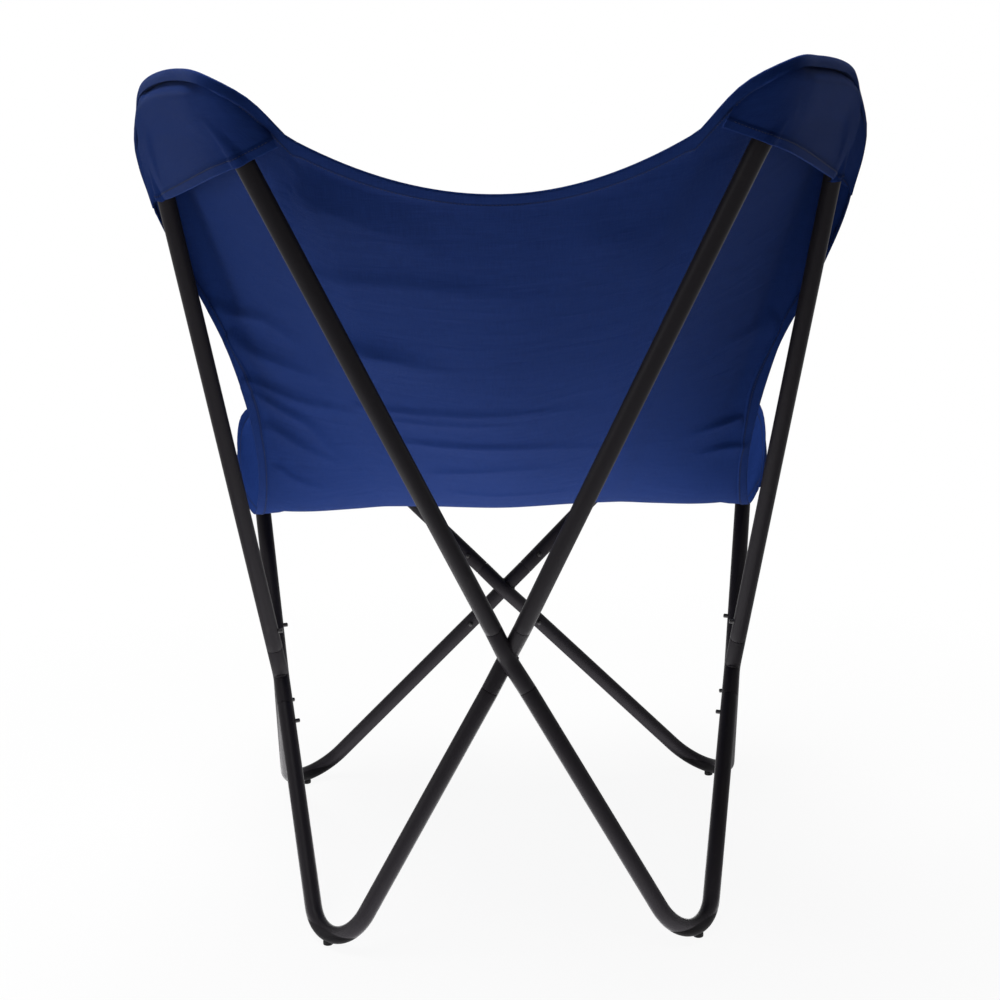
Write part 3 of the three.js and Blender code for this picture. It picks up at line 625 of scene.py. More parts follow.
def leaf_spring(name, end):
    """A flat strip carried along a folded line: four edges round the line at each place, closed at
    its ends. Gives the piece, a place on its lower arm and the way the button points."""
    place, inward = button_line(end)
    half = SPRING_THICKNESS / 2
    under = FLANGE_TOP - FLANGE_THICKNESS - JOINT_GAP - half
    low = JOINT_GAP + half - math.sqrt(SPIGOT_BORE ** 2 - SPRING_WIDTH ** 2 / 4) * BORE_FACET
    fold = (under - low) / SPRING_FOLDS
    spine = np.array((
        (-SPRING_TAIL, under), (FLANGE_RADIUS, under), (SPRING_LENGTH - fold, low + 2 * fold),
        (SPRING_LENGTH, low + fold), (SPRING_LENGTH - fold, low), (-SPRING_TAIL, low),
    ))
    corners = place + spine[:, :1] * end["way"] + spine[:, 1:] * inward
    line, tangents, _ = bent_path(corners, SPRING_BEND, SPRING_BEND_RINGS)
    across = np.ones((len(line), 1)) * np.cross(end["way"], inward)
    flat = np.cross(tangents, across)
    edges = np.array(((1, 1), (1, -1), (-1, -1), (-1, 1))) * (SPRING_WIDTH / 2, half)
    strip = line[:, None] + edges[:, :1] * across[:, None] + edges[:, 1:] * flat[:, None]
    ends = [np.repeat(line[k][None, None], len(edges), axis=1) for k in (0, -1)]
    piece = ring_piece(name, np.concatenate((ends[0], strip, ends[1])), SPRING_SHARP)
    return piece, place + low * inward, inward


for name, end in snaps:
    leaf, anchor, inward = leaf_spring(name + "_leaf", end)
    dressed(leaf, spring_steel, "spring_steel", "chair", name + "_spring")
    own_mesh(leaf)

# Glides. Moulded rubber feet under the four bends. A saddle on top fits the tube, and a barbed stem
# is pushed through a hole in the tube's wall.
GLIDE_RADIUS = 0.0055
GLIDE_EDGE = 0.0009
GLIDE_LIP = 0.0004
SADDLE_RADII = (0.0042, 0.0033, STEM_RADIUS)
BARB_RADIUS = 0.0033
BARB_TIP = 0.8
BARB_HEIGHT = 0.0022
BARB_LIFT = 0.002
GLIDE_SIDES = 40
RUBBER_COLOUR = (0.010, 0.010, 0.0105, 1)
RUBBER_DUSTY_COLOUR = (0.05, 0.048, 0.045, 1)
glide_rubber = grained_material(
    "black_rubber", RUBBER_COLOUR, RUBBER_DUSTY_COLOUR, grain=1500.0, patch=90.0,
    rough=(0.68, 0.9), bump=0.00008, Specular_IOR_Level=0.35,
)


def glide(name, made):
    """Rings about the foot's lowest point. The saddle rings follow the tube's underside, which
    rises as a circle across the tube and more slowly along the bend."""
    tangent = unit(made["path"][1][len(made["path"][1]) // 2] * (1.0, 1.0, 0.0))
    angle = np.linspace(0, 2 * np.pi, GLIDE_SIDES, endpoint=False)
    way = np.stack((np.cos(angle), np.sin(angle)), -1)
    along = way @ tangent[:2]
    across = way @ np.array((-tangent[1], tangent[0]))

    def underside(radius):
        """Height of the tube's underside round a ring."""
        rise = TUBE_RADIUS - np.sqrt(TUBE_RADIUS ** 2 - (radius * across) ** 2)
        slow = (radius * along) ** 2 / (2 * (FOOT_BEND + TUBE_RADIUS))
        return GLIDE_DROP - JOINT_GAP + rise + slow

    wall_top = GLIDE_DROP + TUBE_WALL + BARB_LIFT
    rim = GLIDE_RADIUS - GLIDE_LIP
    rows = [
        (0.0, 0.0),
        *zip(*rounded_edge(GLIDE_RADIUS, GLIDE_EDGE)[::-1]),
        (GLIDE_RADIUS, underside(GLIDE_RADIUS) - GLIDE_LIP),
        *((radius, underside(radius)) for radius in (rim, *SADDLE_RADII)),
        (STEM_RADIUS, wall_top),
        (BARB_RADIUS, wall_top),
        (STEM_RADIUS * BARB_TIP, wall_top + BARB_HEIGHT),
        (0.0, wall_top + BARB_HEIGHT),
    ]
    radii = np.array([radius for radius, _ in rows])[:, None, None]
    heights = np.stack([height * np.ones(GLIDE_SIDES) for _, height in rows])
    rings = np.concatenate((radii * way[None] + made["lowest"][:2], heights[..., None]), -1)
    piece = ring_piece(name + "_foot", rings)
    return dressed(piece, glide_rubber, "glide_rubber", "chair", name + "_glide")


for name, made in members.items():
    if "lowest" in made:
        glide(name, made)

# Sling panel. One sheet of heavy blue cotton canvas that hangs from the bows as back, seat and
# wings, in curves from back edge to front edge. Its edge is turned over to the back and sewn down.
CANVAS = 0.0012
CLOTH_SHARP = 60
HEM_FOLD = 0.0011
HEM_WIDTH = 0.0112
HEM_SPREAD = 1.3
HEM_SOFT = 0.0006
HEM_EDGE = 0.0012
HEM_EDGE_LEAST = 0.08
HEM_ROOM = 0.004
RIM_STEPS = (0.0130, 0.0145, 0.0165, 0.0190, 0.0220)
STITCH_IN = 0.0096
STITCH_DENT = 0.0003
STITCH_DENT_WIDTH = 0.0006
RIM = TUBE_RADIUS + 0.0125
SEAM_TO_TUBE = 0.0112
TUBE_TO_CLOTH = 0.0009
TUBE_TO_SKIN = 0.0002
LEG_RUN = 0.2
SEAT_HEIGHT = 0.412
SEAT_SHARE = 0.68
SEAT_DIP = 0.030
SEAT_SIDE_RISE = 0.014
BILLOW_PEAK = 0.055
ROLL_BACK = 0.009
ROLL_BEGINS = 0.16
ROLL_ENDS = (0.76, 0.2)
ROLL_FADE = 0.05
BEYOND_LEG = 0.014
BEYOND_LEG_FADE = (0.05, 0.06)
BACK_TO_FRONT = (0.25, 0.5)
BACK_CONTROL = np.array(((0.0, -0.0115, 0.425), (0.0, -0.0215, 0.520)))
SEAT_CONTROL = np.array(((0.0, -0.1615, 0.0), (0.0, -0.1415, 0.0)))
BACK_CLOTH = dict(
    drop=0.038, middle=(0.0, 0.3368, 0.8056), roll=0.5, slant=1.9,
    flap_share=0.3, wing_share=0.5, mid_normal=(0.0, -1.0, 1.0),
)
BACK_SIDES = {
    "left": dict(
        flap=(0.0465, 0.003, 0.0476), start=0.07, pocket=(0.072, 0.101, 0.1037), neck=0.0119,
        billow=0.0060, reach=(0.2546, 0.2896),
        flares=(0.0288, 0.0015, -0.0022, 0.0018, 0.0082, 0.0022),
    ),
    "right": dict(
        flap=(0.0487, 0.003, 0.0589), start=0.10, pocket=(0.060, 0.095, 0.1058), neck=0.0168,
        billow=0.0078, reach=(0.2684, 0.2767),
        flares=(0.0369, 0.0021, -0.0004, 0.0060, 0.0186, 0.0128),
    ),
}
FRONT_CLOTH = dict(
    flap=(0.066, 0.016, 0.034), start=0.02, pocket=(0.082, 0.104, 0.104), roll=0.0, drop=0.0,
    middle=(0.0, -0.3605, 0.447), neck=0.0, slant=1.3, flap_share=0.5, wing_share=0.65,
    mid_normal=(0.0, 0.0, 1.0), flares=(0.006, 0.0015, 0.0, 0.006, 0.009, 0.009),
)
BACK_ROWS = 200
SEAT_ROWS = 44
BACK_SHARE = 0.62
CLEAR_SHARES = (0.046, 0.945)
HALF_COLUMNS = 62
WING_FADE = 0.1
PROBE = 0.001
PROBE_DOWN = 0.004
LEAST_SINE = 0.1
FAR_AWAY = 1.0
STITCH_PITCH = 0.0034
STITCH_LENGTH = 0.0027
STITCH_SWELL = np.array((0.0, 0.85, 1.0, 0.85, 0.0))
STITCH_LIFT = np.array((-0.6, 0.25, 0.5, 0.25, -0.6))
THREAD_RADIUS = 0.00036
THREAD_SIDES = 6
THREAD_SHARP = 80
THREADS_PER_METRE = 1700.0
TWIST_SCALE = 2600.0
SLUB_STRETCHES = ((900.0, 45.0, 1.0), (45.0, 900.0, 1.0))
SLUB_LIMITS = (0.35, 0.65)
SLUB_TINT = 0.5
SLUB_HEIGHT = 1.5
WEAVE_HEIGHT = 0.0002
DRIFT_SCALE = 7.0
PUCKER_STRETCH = (9.0, 58.0, 1.0)
PUCKER_HEIGHT = 0.0024
# Painted shade: the canvas colour is darkened close to each row of stitches, standing in for the
# shade in the needle's dents.
SEAM_SHADE_DEPTH = 0.52
SEAM_SHADE_REACH = (0.0005, 0.0014)
CANVAS_ROUGH = (0.78, 0.96)
CANVAS_COLOUR = (0.0058, 0.0195, 0.100, 1)
CANVAS_PALE_COLOUR = (0.0112, 0.0305, 0.133, 1)
CANVAS_DEEP_COLOUR = (0.0039, 0.0145, 0.081, 1)
# Dark blue used twice: as the painted shade in the stitch dents, and as the darker bands of the
# thread.
SEAM_SHADE_AND_DARK_THREAD_COLOUR = (0.0020, 0.0055, 0.026, 1)
THREAD_COLOUR = (0.0060, 0.0160, 0.070, 1)

# Folds that show on the panel's back: places across and up as seen from behind, width and height.
FOLDS_END = (0.62, 0.12)
FOLD_LEE = 3
FOLD_POWER = 1.4
FOLD_POINTS = 8
FOLDS = (
    (((0.313, 0.685), (0.281, 0.674), (0.247, 0.672), (0.205, 0.640)), 0.0060, 0.0052),
    (((0.296, 0.653), (0.264, 0.631), (0.228, 0.620), (0.185, 0.603)), 0.0070, 0.0068),
    (((0.287, 0.599), (0.256, 0.590), (0.221, 0.579), (0.140, 0.566)), 0.0050, 0.0044),
    (((0.276, 0.583), (0.242, 0.566), (0.212, 0.547), (0.191, 0.515), (0.165, 0.497)),
     0.0045, 0.0048),
    (((0.265, 0.545), (0.228, 0.521), (0.172, 0.489)), 0.0050, 0.0040),
    (((0.262, 0.490), (0.235, 0.470), (0.200, 0.455)), 0.0040, 0.0028),
    (((-0.272, 0.540), (-0.239, 0.532), (-0.200, 0.521)), 0.0036, 0.0040),
    (((-0.280, 0.502), (-0.251, 0.502), (-0.210, 0.493)), 0.0036, 0.0036),
    (((-0.300, 0.660), (-0.262, 0.640), (-0.222, 0.634)), 0.0060, 0.0024),
    (((0.190, 0.812), (0.138, 0.791), (0.092, 0.772), (0.055, 0.730)), 0.0150, 0.0092),
    (((0.180, 0.730), (0.117, 0.723), (0.064, 0.716), (-0.050, 0.696)), 0.0090, 0.0040),
    (((0.170, 0.655), (0.105, 0.637), (0.045, 0.618)), 0.0090, 0.0076),
    (((-0.060, 0.772), (-0.120, 0.760), (-0.180, 0.778)), 0.0140, 0.0032),
    (((0.160, 0.580), (0.086, 0.572), (0.036, 0.569), (-0.051, 0.572), (-0.130, 0.573)),
     0.0036, 0.0030),
    (((0.122, 0.563), (0.040, 0.556), (-0.035, 0.558)), 0.0034, 0.0026),
    (((0.115, 0.533), (0.038, 0.527), (-0.042, 0.524), (-0.150, 0.515)), 0.0036, 0.0036),
    (((0.085, 0.486), (0.004, 0.492), (-0.080, 0.491)), 0.0040, 0.0026),
    (((0.060, 0.455), (0.000, 0.450), (-0.110, 0.453)), 0.0040, 0.0020),
)

# What a place down the panel is: a distance from the back edge, a share of the hanging curve, or
# a distance from the front edge.
FROM_BACK, ON_CURVE, FROM_FRONT = range(3)


def eased(value, start=0.0, over=1.0):
    """0 up to the start, 1 from start + over onwards, and a smooth step between."""
    share = np.clip((value - start) / over, 0, 1)
    return share * share * (3 - 2 * share)


def run_lengths(points, axis=0):
    """Distances run along rows of points, from nothing at the first one."""
    steps = length_of(np.diff(points, axis=axis))
    start = np.zeros_like(np.take(steps, [0], axis=axis))
    return np.concatenate((start, np.cumsum(steps, axis=axis)), axis=axis)


def curve_through(points, fine=48):
    """A smooth curve through points: cubics between them with slopes from the neighbours, spans
    weighted by the root of their length. Gives shares of its length, and places."""
    points = np.asarray(points, float)
    padded = np.concatenate((2 * points[:1] - points[1:2], points, 2 * points[-1:] - points[-2:-1]))
    span = np.sqrt(length_of(np.diff(padded, axis=0)))[:, None]
    p0, p1, p2, p3 = padded[:-3], padded[1:-2], padded[2:-1], padded[3:]
    d0, d1, d2 = span[:-2], span[1:-1], span[2:]
    leave = ((p1 - p0) / d0 - (p2 - p0) / (d0 + d1) + (p2 - p1) / d1) * d1
    reach = ((p2 - p1) / d1 - (p3 - p1) / (d1 + d2) + (p3 - p2) / d2) * d1
    u = np.linspace(0, 1, fine, endpoint=False)[None, :, None]
    p1, p2, leave, reach = (values[:, None] for values in (p1, p2, leave, reach))
    bend = 2 * p1 - 2 * p2 + leave + reach
    swing = -3 * p1 + 3 * p2 - 2 * leave - reach
    line = (((bend * u + swing) * u + leave) * u + p1).reshape(-1, 3)
    line = np.concatenate((line, points[-1:]))
    length = run_lengths(line)
    return length / length[-1], line


def along_curve(curve, share):
    """Places on a curve, which is given as lengths or shares of length, and places."""
    return np.stack([np.interp(share, curve[0], axis) for axis in curve[1].T], -1)


def sling_corner(bow, cloth):
    """One corner of the sling round the left bow that carries it: its outline from the middle of
    the edge to the side hem, the way towards the sitter, and the hem of its pocket."""
    inner, outer = bow["corners"]
    inner_leg, outer_leg = (-end["way"] for end in bow["ends"])
    bar = unit(outer - inner)
    legs = unit(inner_leg + outer_leg)
    sitter = unit(np.cross(bar, legs))
    sitter = sitter if sitter[2] > 0 else -sitter
    top = unit(np.cross(sitter, bar))
    top = -top if top @ legs > 0 else top

    def arc(before, corner, after):
        """First, middle and last place of a bend."""
        return bent_path((before, corner, after), BOW_BEND, 3)[0][1:4]

    inner_arc = arc(inner + LEG_RUN * inner_leg, inner, outer)
    outer_arc = arc(inner, outer, outer + LEG_RUN * outer_leg)
    inner_out = square_to(inner_leg, -bar)
    outer_out = square_to(outer_leg, bar)
    rolled = unit(outer_out - cloth["roll"] * sitter)
    down, out, inboard = cloth["flap"]
    flap = inner + down * inner_leg + out * inner_out - (inboard, 0.0, 0.0)
    skewed = unit(inner_out + top)
    shoulder, crest, brow, corner, flank, end = (RIM + flare for flare in cloth["flares"])
    inner_depth, outer_depth, end_depth = cloth["pocket"]
    hem_end = outer + end_depth * outer_leg + end * rolled
    outline = curve_through((
        flap,
        (flap + inner_arc[1] + shoulder * skewed) / 2 + cloth["neck"] * skewed,
        inner_arc[1] + shoulder * skewed,
        inner_arc[2] + crest * top,
        outer_arc[0] + brow * top,
        outer_arc[1] + corner * unit(outer_out + top),
        outer_arc[2] + flank * rolled,
        hem_end,
    ))
    hem_start = along_curve(outline, np.array(cloth["start"])) + cloth["drop"] * inner_leg
    hem = curve_through((
        hem_start, inner + inner_depth * inner_leg, outer + outer_depth * outer_leg, hem_end,
    ))
    mid_normal = square_to(inner_leg, unit(np.array(cloth["mid_normal"])))
    middle = np.array(cloth["middle"])
    flap_share = cloth["flap_share"]

    def edge(share):
        """The edge: a parabola from its middle to the flap, then the outline round the wing."""
        inside = np.clip(share / flap_share, 0, 1)[..., None]
        hung = middle + (flap - middle) * np.concatenate((inside, inside ** 2, inside ** 2), -1)
        wing = along_curve(outline, (share - flap_share) / (1 - flap_share))
        return np.where(share[..., None] <= flap_share, hung, wing)

    def normal(share):
        """The way towards the sitter, which turns from the middle of the edge to the wing."""
        turn = eased(share, flap_share, cloth["wing_share"] - flap_share)[..., None]
        return unit(mid_normal * (1 - turn) + sitter * turn)

    def beyond_leg(points):
        """0 inside the bow and over its outer leg, and 1 where the cloth is well beyond it."""
        return eased((points - outer) @ outer_out, TUBE_RADIUS, BEYOND_LEG)

    return {"edge": edge, "normal": normal, "beyond_leg": beyond_leg, "hem": hem,
            "path": bow["path"][0], "cloth": cloth}


def from_axis(points, path):
    """Vectors to points from the nearest places on a tube's axis."""
    flat = points.reshape(-1, 1, 3)
    start, run = path[:-1], np.diff(path, axis=0)
    share = np.clip(np.sum((flat - start) * run, -1) / np.sum(run * run, -1), 0, 1)
    gap = flat - (start + share[..., None] * run)
    nearest = np.argmin(np.sum(gap * gap, -1), axis=1)
    return gap[np.arange(len(gap)), nearest].reshape(points.shape)


def shortfall(points, path, side):
    """How far points lie on the wrong side of a tube's axis; it fades out away from the tube."""
    gap = from_axis(points, path)
    height = np.sum(gap * side, -1)
    reach = length_of(gap - height[..., None] * side)
    fade = 1 - eased(reach / (2 * TUBE_RADIUS) - 1)
    return np.maximum(0, -height) * fade


def off_tube(points, path):
    """Points moved straight out from a tube's axis until the cloth lies on the tube, not in it."""
    gap = from_axis(points, path)
    distance = length_of(gap)[..., None]
    least = TUBE_RADIUS + CANVAS / 2 + TUBE_TO_SKIN
    return points + gap / distance * np.maximum(0, least - distance)


def over_tube(distance):
    """Height of tight cloth over a tube, as a share: flat to the seam, then a quarter ellipse."""
    rise = np.clip((distance - STITCH_IN) / SEAM_TO_TUBE, 0, 1)
    return np.sqrt(1 - (1 - rise) ** 2)


def half_panel(back, front, s, place, kind, slant=1.0):
    """A place on one half of the panel. A cubic curve hangs from the back edge to the front edge at
    each share s across the seat, with its lower control solved so that it meets the seat's height.
    The wing's crest rolls back. Near a bow the cloth steps over the tube towards the sitter, by its
    distance from the edge, which is the length along the curve divided by the slant."""
    cloth = back["cloth"]
    share = np.abs(s)
    start, finish = back["edge"](share), front["edge"](share)
    squared = share[..., None] ** 2
    controls = (BACK_CONTROL, SEAT_CONTROL)
    upper, lower = (first + (last - first) * squared for first, last in controls)
    upper[..., 0], lower[..., 0] = (reach * share for reach in cloth["reach"])
    rest = 1 - SEAT_SHARE
    others = rest ** 3 * start + 3 * rest ** 2 * SEAT_SHARE * upper + SEAT_SHARE ** 3 * finish
    seat = SEAT_HEIGHT - SEAT_DIP * share ** 2 * (1 - share ** 2) + SEAT_SIDE_RISE * share ** 6
    lower[..., 2] = (seat - others[..., 2]) / (3 * rest * SEAT_SHARE ** 2)
    from_back = place / (3 * length_of(start - upper))
    from_front = 1 - place / (3 * length_of(finish - lower))
    t = np.choose(kind, (from_back, place, from_front))[..., None]
    upper_part = (1 - t) ** 3 * start + 3 * (1 - t) ** 2 * t * upper
    point = upper_part + 3 * (1 - t) * t ** 2 * lower + t ** 3 * finish
    down = t[..., 0] / BILLOW_PEAK
    point[..., 0] += cloth["billow"] * down * np.exp(1 - down) * share ** 4
    wing = (share - cloth["flap_share"]) / (1 - cloth["flap_share"])
    from_edge = length_of(point - start) / slant
    on_crest = eased(wing, 0, ROLL_BEGINS) * (1 - eased(wing, *ROLL_ENDS))
    rolled = on_crest * np.minimum(from_edge / HEM_WIDTH, 1)
    rolled = ROLL_BACK * rolled * (1 - eased(from_edge, HEM_WIDTH, ROLL_FADE))
    point = point - back["normal"](share) * rolled[..., None]
    near_back = 1 - eased(t, *BACK_TO_FRONT)
    offset = 0
    for corner, edge, near in ((back, start, near_back), (front, finish, 1 - near_back)):
        normal = corner["normal"](share)
        from_edge = length_of(point - edge) / slant
        over = over_tube(from_edge) * eased(share, 0, corner["cloth"]["flap_share"])
        flat_rim = corner["beyond_leg"](point) * (1 - eased(from_edge, *BEYOND_LEG_FADE))
        over = over * (1 - flat_rim)
        height = TUBE_RADIUS + TUBE_TO_CLOTH + shortfall(point, corner["path"], normal)
        offset = offset + normal * near * (height * over + CANVAS / 2)[..., None]
    point = off_tube(off_tube(point + offset, back["path"]), front["path"])
    point[..., 0] *= np.sign(s) + (s == 0)
    return point


def hem_slant(back, front, s, kind):
    """How much longer the width of a hem is along the hanging curves than square to the edge: one
    over the sine of the angle between the two, up to a limit."""
    step = np.where(s > 0.5, -PROBE, PROBE)
    none = np.zeros_like(s)
    here, beside, below = (half_panel(back, front, across, down, kind) for across, down in (
        (s, none), (s + step, none), (s, none + PROBE_DOWN)))
    sine = length_of(np.cross(unit(beside - here), unit(below - here)))
    most = np.choose(kind, (back["cloth"]["slant"], 1.0, front["cloth"]["slant"]))
    return np.minimum(1 / np.maximum(sine, LEAST_SINE), most)


def panel_point(s, place, kind, slant=1.0):
    """A place on the panel, where each half has its own wing."""
    left, right = (half_panel(back_corners[side_name], front_corner, s, place, kind, slant)
                   for side_name in SIDES)
    return np.where(s[..., None] >= 0, left, right)


def cloth_normals(grid):
    """Normals of a sheet, from the slopes of its grid both ways."""
    return unit(np.cross(np.gradient(grid, axis=0), np.gradient(grid, axis=1)))


def crease(points, fold):
    """Height of a tension fold: a ridge along a smooth line as seen from behind, steep above and
    wider below, that fades out to both ends."""
    places, width, height = fold
    line = curve_through([(x, 0.0, z) for x, z in places], FOLD_POINTS)[1]
    seen = points * (1, 0, 1)
    gap = from_axis(seen, line)
    run = line[-1] - line[0]
    along = np.clip((seen - gap - line[0]) @ run / (run @ run), 0, 1)
    wide = np.where(gap[..., 2] > 0, width, FOLD_LEE * width)
    ridge = height * np.exp(-(length_of(gap) / wide) ** FOLD_POWER)
    return ridge * np.sin(np.pi * np.sqrt(along))


def flat_cut(grid):
    """Places on the flat cloth: lengths along the grid's rows and columns, both from its middle."""
    u, v = run_lengths(grid, 1), run_lengths(grid)
    return np.stack((u - u[:, grid.shape[1] // 2, None], v - v[len(grid) // 2]), -1)


def cloth_sheet(name, grid, front, back, sewn):
    """A closed sheet round a grid of middle points: two skins at their own distances along the
    normal, and walls round the edge. The cut map holds the place of each point on the flat cloth,
    in metres, and the sewn map its distance from the nearest row of stitches."""
    rows, columns = grid.shape[:2]
    normals = cloth_normals(grid)
    skins = np.concatenate((grid + normals * front[..., None], grid - normals * back[..., None]))
    faces = grid_faces(rows, columns)
    far = rows * columns
    i, j = np.arange(rows) * columns, np.arange(columns)
    round_edge = np.concatenate((j, i[1:] + columns - 1, i[-1] + j[-2::-1], i[-2:0:-1]))
    after = np.roll(round_edge, -1)
    walls = np.stack((round_edge, after, after + far, round_edge + far), -1)
    all_faces = np.concatenate((faces, faces[:, ::-1] + far, walls[:, ::-1]))
    piece = mesh_piece(name, skins, all_faces, CLOTH_SHARP)
    corner_points = np.zeros(len(piece.data.loops), np.int32)
    piece.data.loops.foreach_get("vertex_index", corner_points)
    for map_name, places in (("cut", flat_cut(grid)), ("sewn", np.stack((sewn, sewn), -1))):
        layer = piece.data.uv_layers.new(name=map_name)
        flat = np.concatenate((places.reshape(-1, 2), places.reshape(-1, 2)))
        layer.data.foreach_set("uv", flat[corner_points].astype(np.float32).ravel())
    return piece


def hem_steps(width):
    """Distances from an edge, close together where the cloth is rounded, sewn and stepped."""
    edge = np.array((0.0, 0.0003, 0.0008, 0.0016, 0.0032, 0.0055, 0.0078))
    sewn = STITCH_IN + np.array((-0.0009, -0.0005, 0.0, 0.0005, 0.0009))
    fold = width + np.array((-0.0003, 0.0, 0.0003, 0.0009))
    return np.concatenate((edge, sewn, fold))


def hem_profile(distance, width):
    """Shares of a hem's thickness by distance from the edge: the rounded edge, the dent of the
    stitching and the fold that ends the turned-over layer."""
    rounded = np.sqrt(1 - np.clip(1 - distance / HEM_EDGE, 0, 1) ** 2)
    dent = np.exp(-((distance - STITCH_IN) / STITCH_DENT_WIDTH) ** 2)
    fold = 1 - eased(distance - width, -HEM_SOFT / 2, HEM_SOFT)
    return np.maximum(rounded, HEM_EDGE_LEAST), dent, fold


def half_shares(sign):
    """Shares across one half for every row: even steps, then the hem's steps at true distances."""
    edge = np.full(len(places), float(sign))
    rate = panel_point(edge, places, kinds) - panel_point(edge * (1 - PROBE), places, kinds)
    hem = HEM_SPREAD * side_steps[None, :] * PROBE / length_of(rate)[:, None]
    inner = np.linspace(0, 1, HALF_COLUMNS)[None, 1:] * (1 - hem[:, -1:] - HEM_ROOM)
    return sign * np.concatenate((inner, 1 - hem[:, ::-1]), axis=1)


def stretched(tree, place, by):
    """A place multiplied by three numbers."""
    return shader_node(tree, "ShaderNodeVectorMath", {0: place, 1: by}, operation="MULTIPLY")


def weave_group():
    """Plain weave on a flat map in metres. Sines of the place in threads give the round threads
    both ways, and the sign of their product says which lies on top. Slubs are soft streaks."""
    tree, given, results = node_group(
        "canvas_weave", {"Flat Map": "Vector", "Threads per Metre": "Float"}, ("Height", "Slubs"))
    waves = []
    for axis in ("X", "Y"):
        place = shader_node(tree, "ShaderNodeSeparateXYZ", {0: given["Flat Map"]}, axis)
        threads = sum_of(tree, "MULTIPLY", place, given["Threads per Metre"])
        waves.append(sum_of(tree, "SINE", sum_of(tree, "MULTIPLY", threads, math.pi)))
    over = sum_of(tree, "GREATER_THAN", sum_of(tree, "MULTIPLY", *waves), 0.0)
    warp, weft = (sum_of(tree, "ABSOLUTE", wave) for wave in waves)
    height = shader_node(tree, "ShaderNodeMix", {0: over, 2: weft, 3: warp}, data_type="FLOAT")
    streaks = [noise(tree, stretched(tree, given["Flat Map"], by), 1.0, Detail=2.0)
               for by in SLUB_STRETCHES]
    slubs = sum_of(tree, "MULTIPLY", sum_of(tree, "ADD", *streaks), 0.5)
    set_inputs(results, {"Height": height, "Slubs": slubs})
    return tree


def canvas_material():
    """Dyed cotton canvas: a dull blue with sheen, streaked along its threads, with slow drifts of
    colour, soft puckers, and painted shade along the rows of stitches, where the needle dents the
    cloth."""
    material, tree, shader = new_material(
        "blue_canvas", Sheen_Weight=0.035, Sheen_Roughness=0.35, Sheen_Tint=(0.60, 0.72, 1.0, 1),
        Specular_IOR_Level=0.04,
    )
    flat_map, sewn_map = (shader_node(tree, "ShaderNodeUVMap", {}, uv_map=name)
                          for name in ("cut", "sewn"))
    weave = shader_node(
        tree, "ShaderNodeGroup", {"Flat Map": flat_map, "Threads per Metre": THREADS_PER_METRE},
        node_tree=weave_group()).node.outputs
    drift = noise(tree, object_place(tree), DRIFT_SCALE, Detail=5.0)
    colour = blended(tree, drift, CANVAS_DEEP_COLOUR, CANVAS_COLOUR)
    streak = between(tree, weave["Slubs"], 0.0, SLUB_TINT, *SLUB_LIMITS)
    colour = blended(tree, streak, colour, CANVAS_PALE_COLOUR)
    from_stitches = shader_node(tree, "ShaderNodeSeparateXYZ", {0: sewn_map}, "X")
    # Painted shade: darker close to each row of stitches, for the shade in the dents.
    painted_seam_shade = between(tree, from_stitches, SEAM_SHADE_DEPTH, 0.0, *SEAM_SHADE_REACH)
    puckers = stretched(tree, flat_map, PUCKER_STRETCH)
    puckers = noise(tree, puckers, 1.0, Detail=3.0, Distortion=0.4)
    soft = bumped(tree, puckers, PUCKER_HEIGHT, Strength=0.5)
    slubs = sum_of(tree, "MULTIPLY", weave["Slubs"], SLUB_HEIGHT)
    raised = sum_of(tree, "ADD", weave["Height"], slubs)
    set_inputs(shader, {
        "Base Color": blended(tree, painted_seam_shade, colour, SEAM_SHADE_AND_DARK_THREAD_COLOUR),
        "Roughness": between(tree, weave["Slubs"], *CANVAS_ROUGH),
        "Normal": bumped(tree, raised, WEAVE_HEIGHT, Strength=0.5, Normal=soft),
    })
    return material


def thread_material():
    """Twisted polyester thread: a dark blue, banded along its length by the twist."""
    material, tree, shader = new_material("blue_thread", Roughness=0.55, Specular_IOR_Level=0.2)
    twist = noise(tree, object_place(tree), TWIST_SCALE, Detail=1.0)
    set_inputs(shader, {"Base Color": blended(tree, twist, SEAM_SHADE_AND_DARK_THREAD_COLOUR, THREAD_COLOUR)})
    return material


def sewn_lines(grid, depth, lines):
    """Rows of lockstitch on one face of a sheet. Each line of grid places is stepped along at the
    stitch pitch; gives the stitches' centres, their ways along and the face's outward ways."""
    normals = cloth_normals(grid) * np.sign(depth)[..., None]
    face = grid + normals * np.abs(depth)[..., None]
    found = []
    for i, j in lines:
        places = face[i, j]
        length = run_lengths(places)
        steps = np.arange(STITCH_PITCH / 2, length[-1], STITCH_PITCH)
        rows = (places, np.gradient(places, axis=0), normals[i, j])
        found.append([along_curve((length, row), steps) for row in rows])
    return [np.concatenate(rows) for rows in zip(*found)]


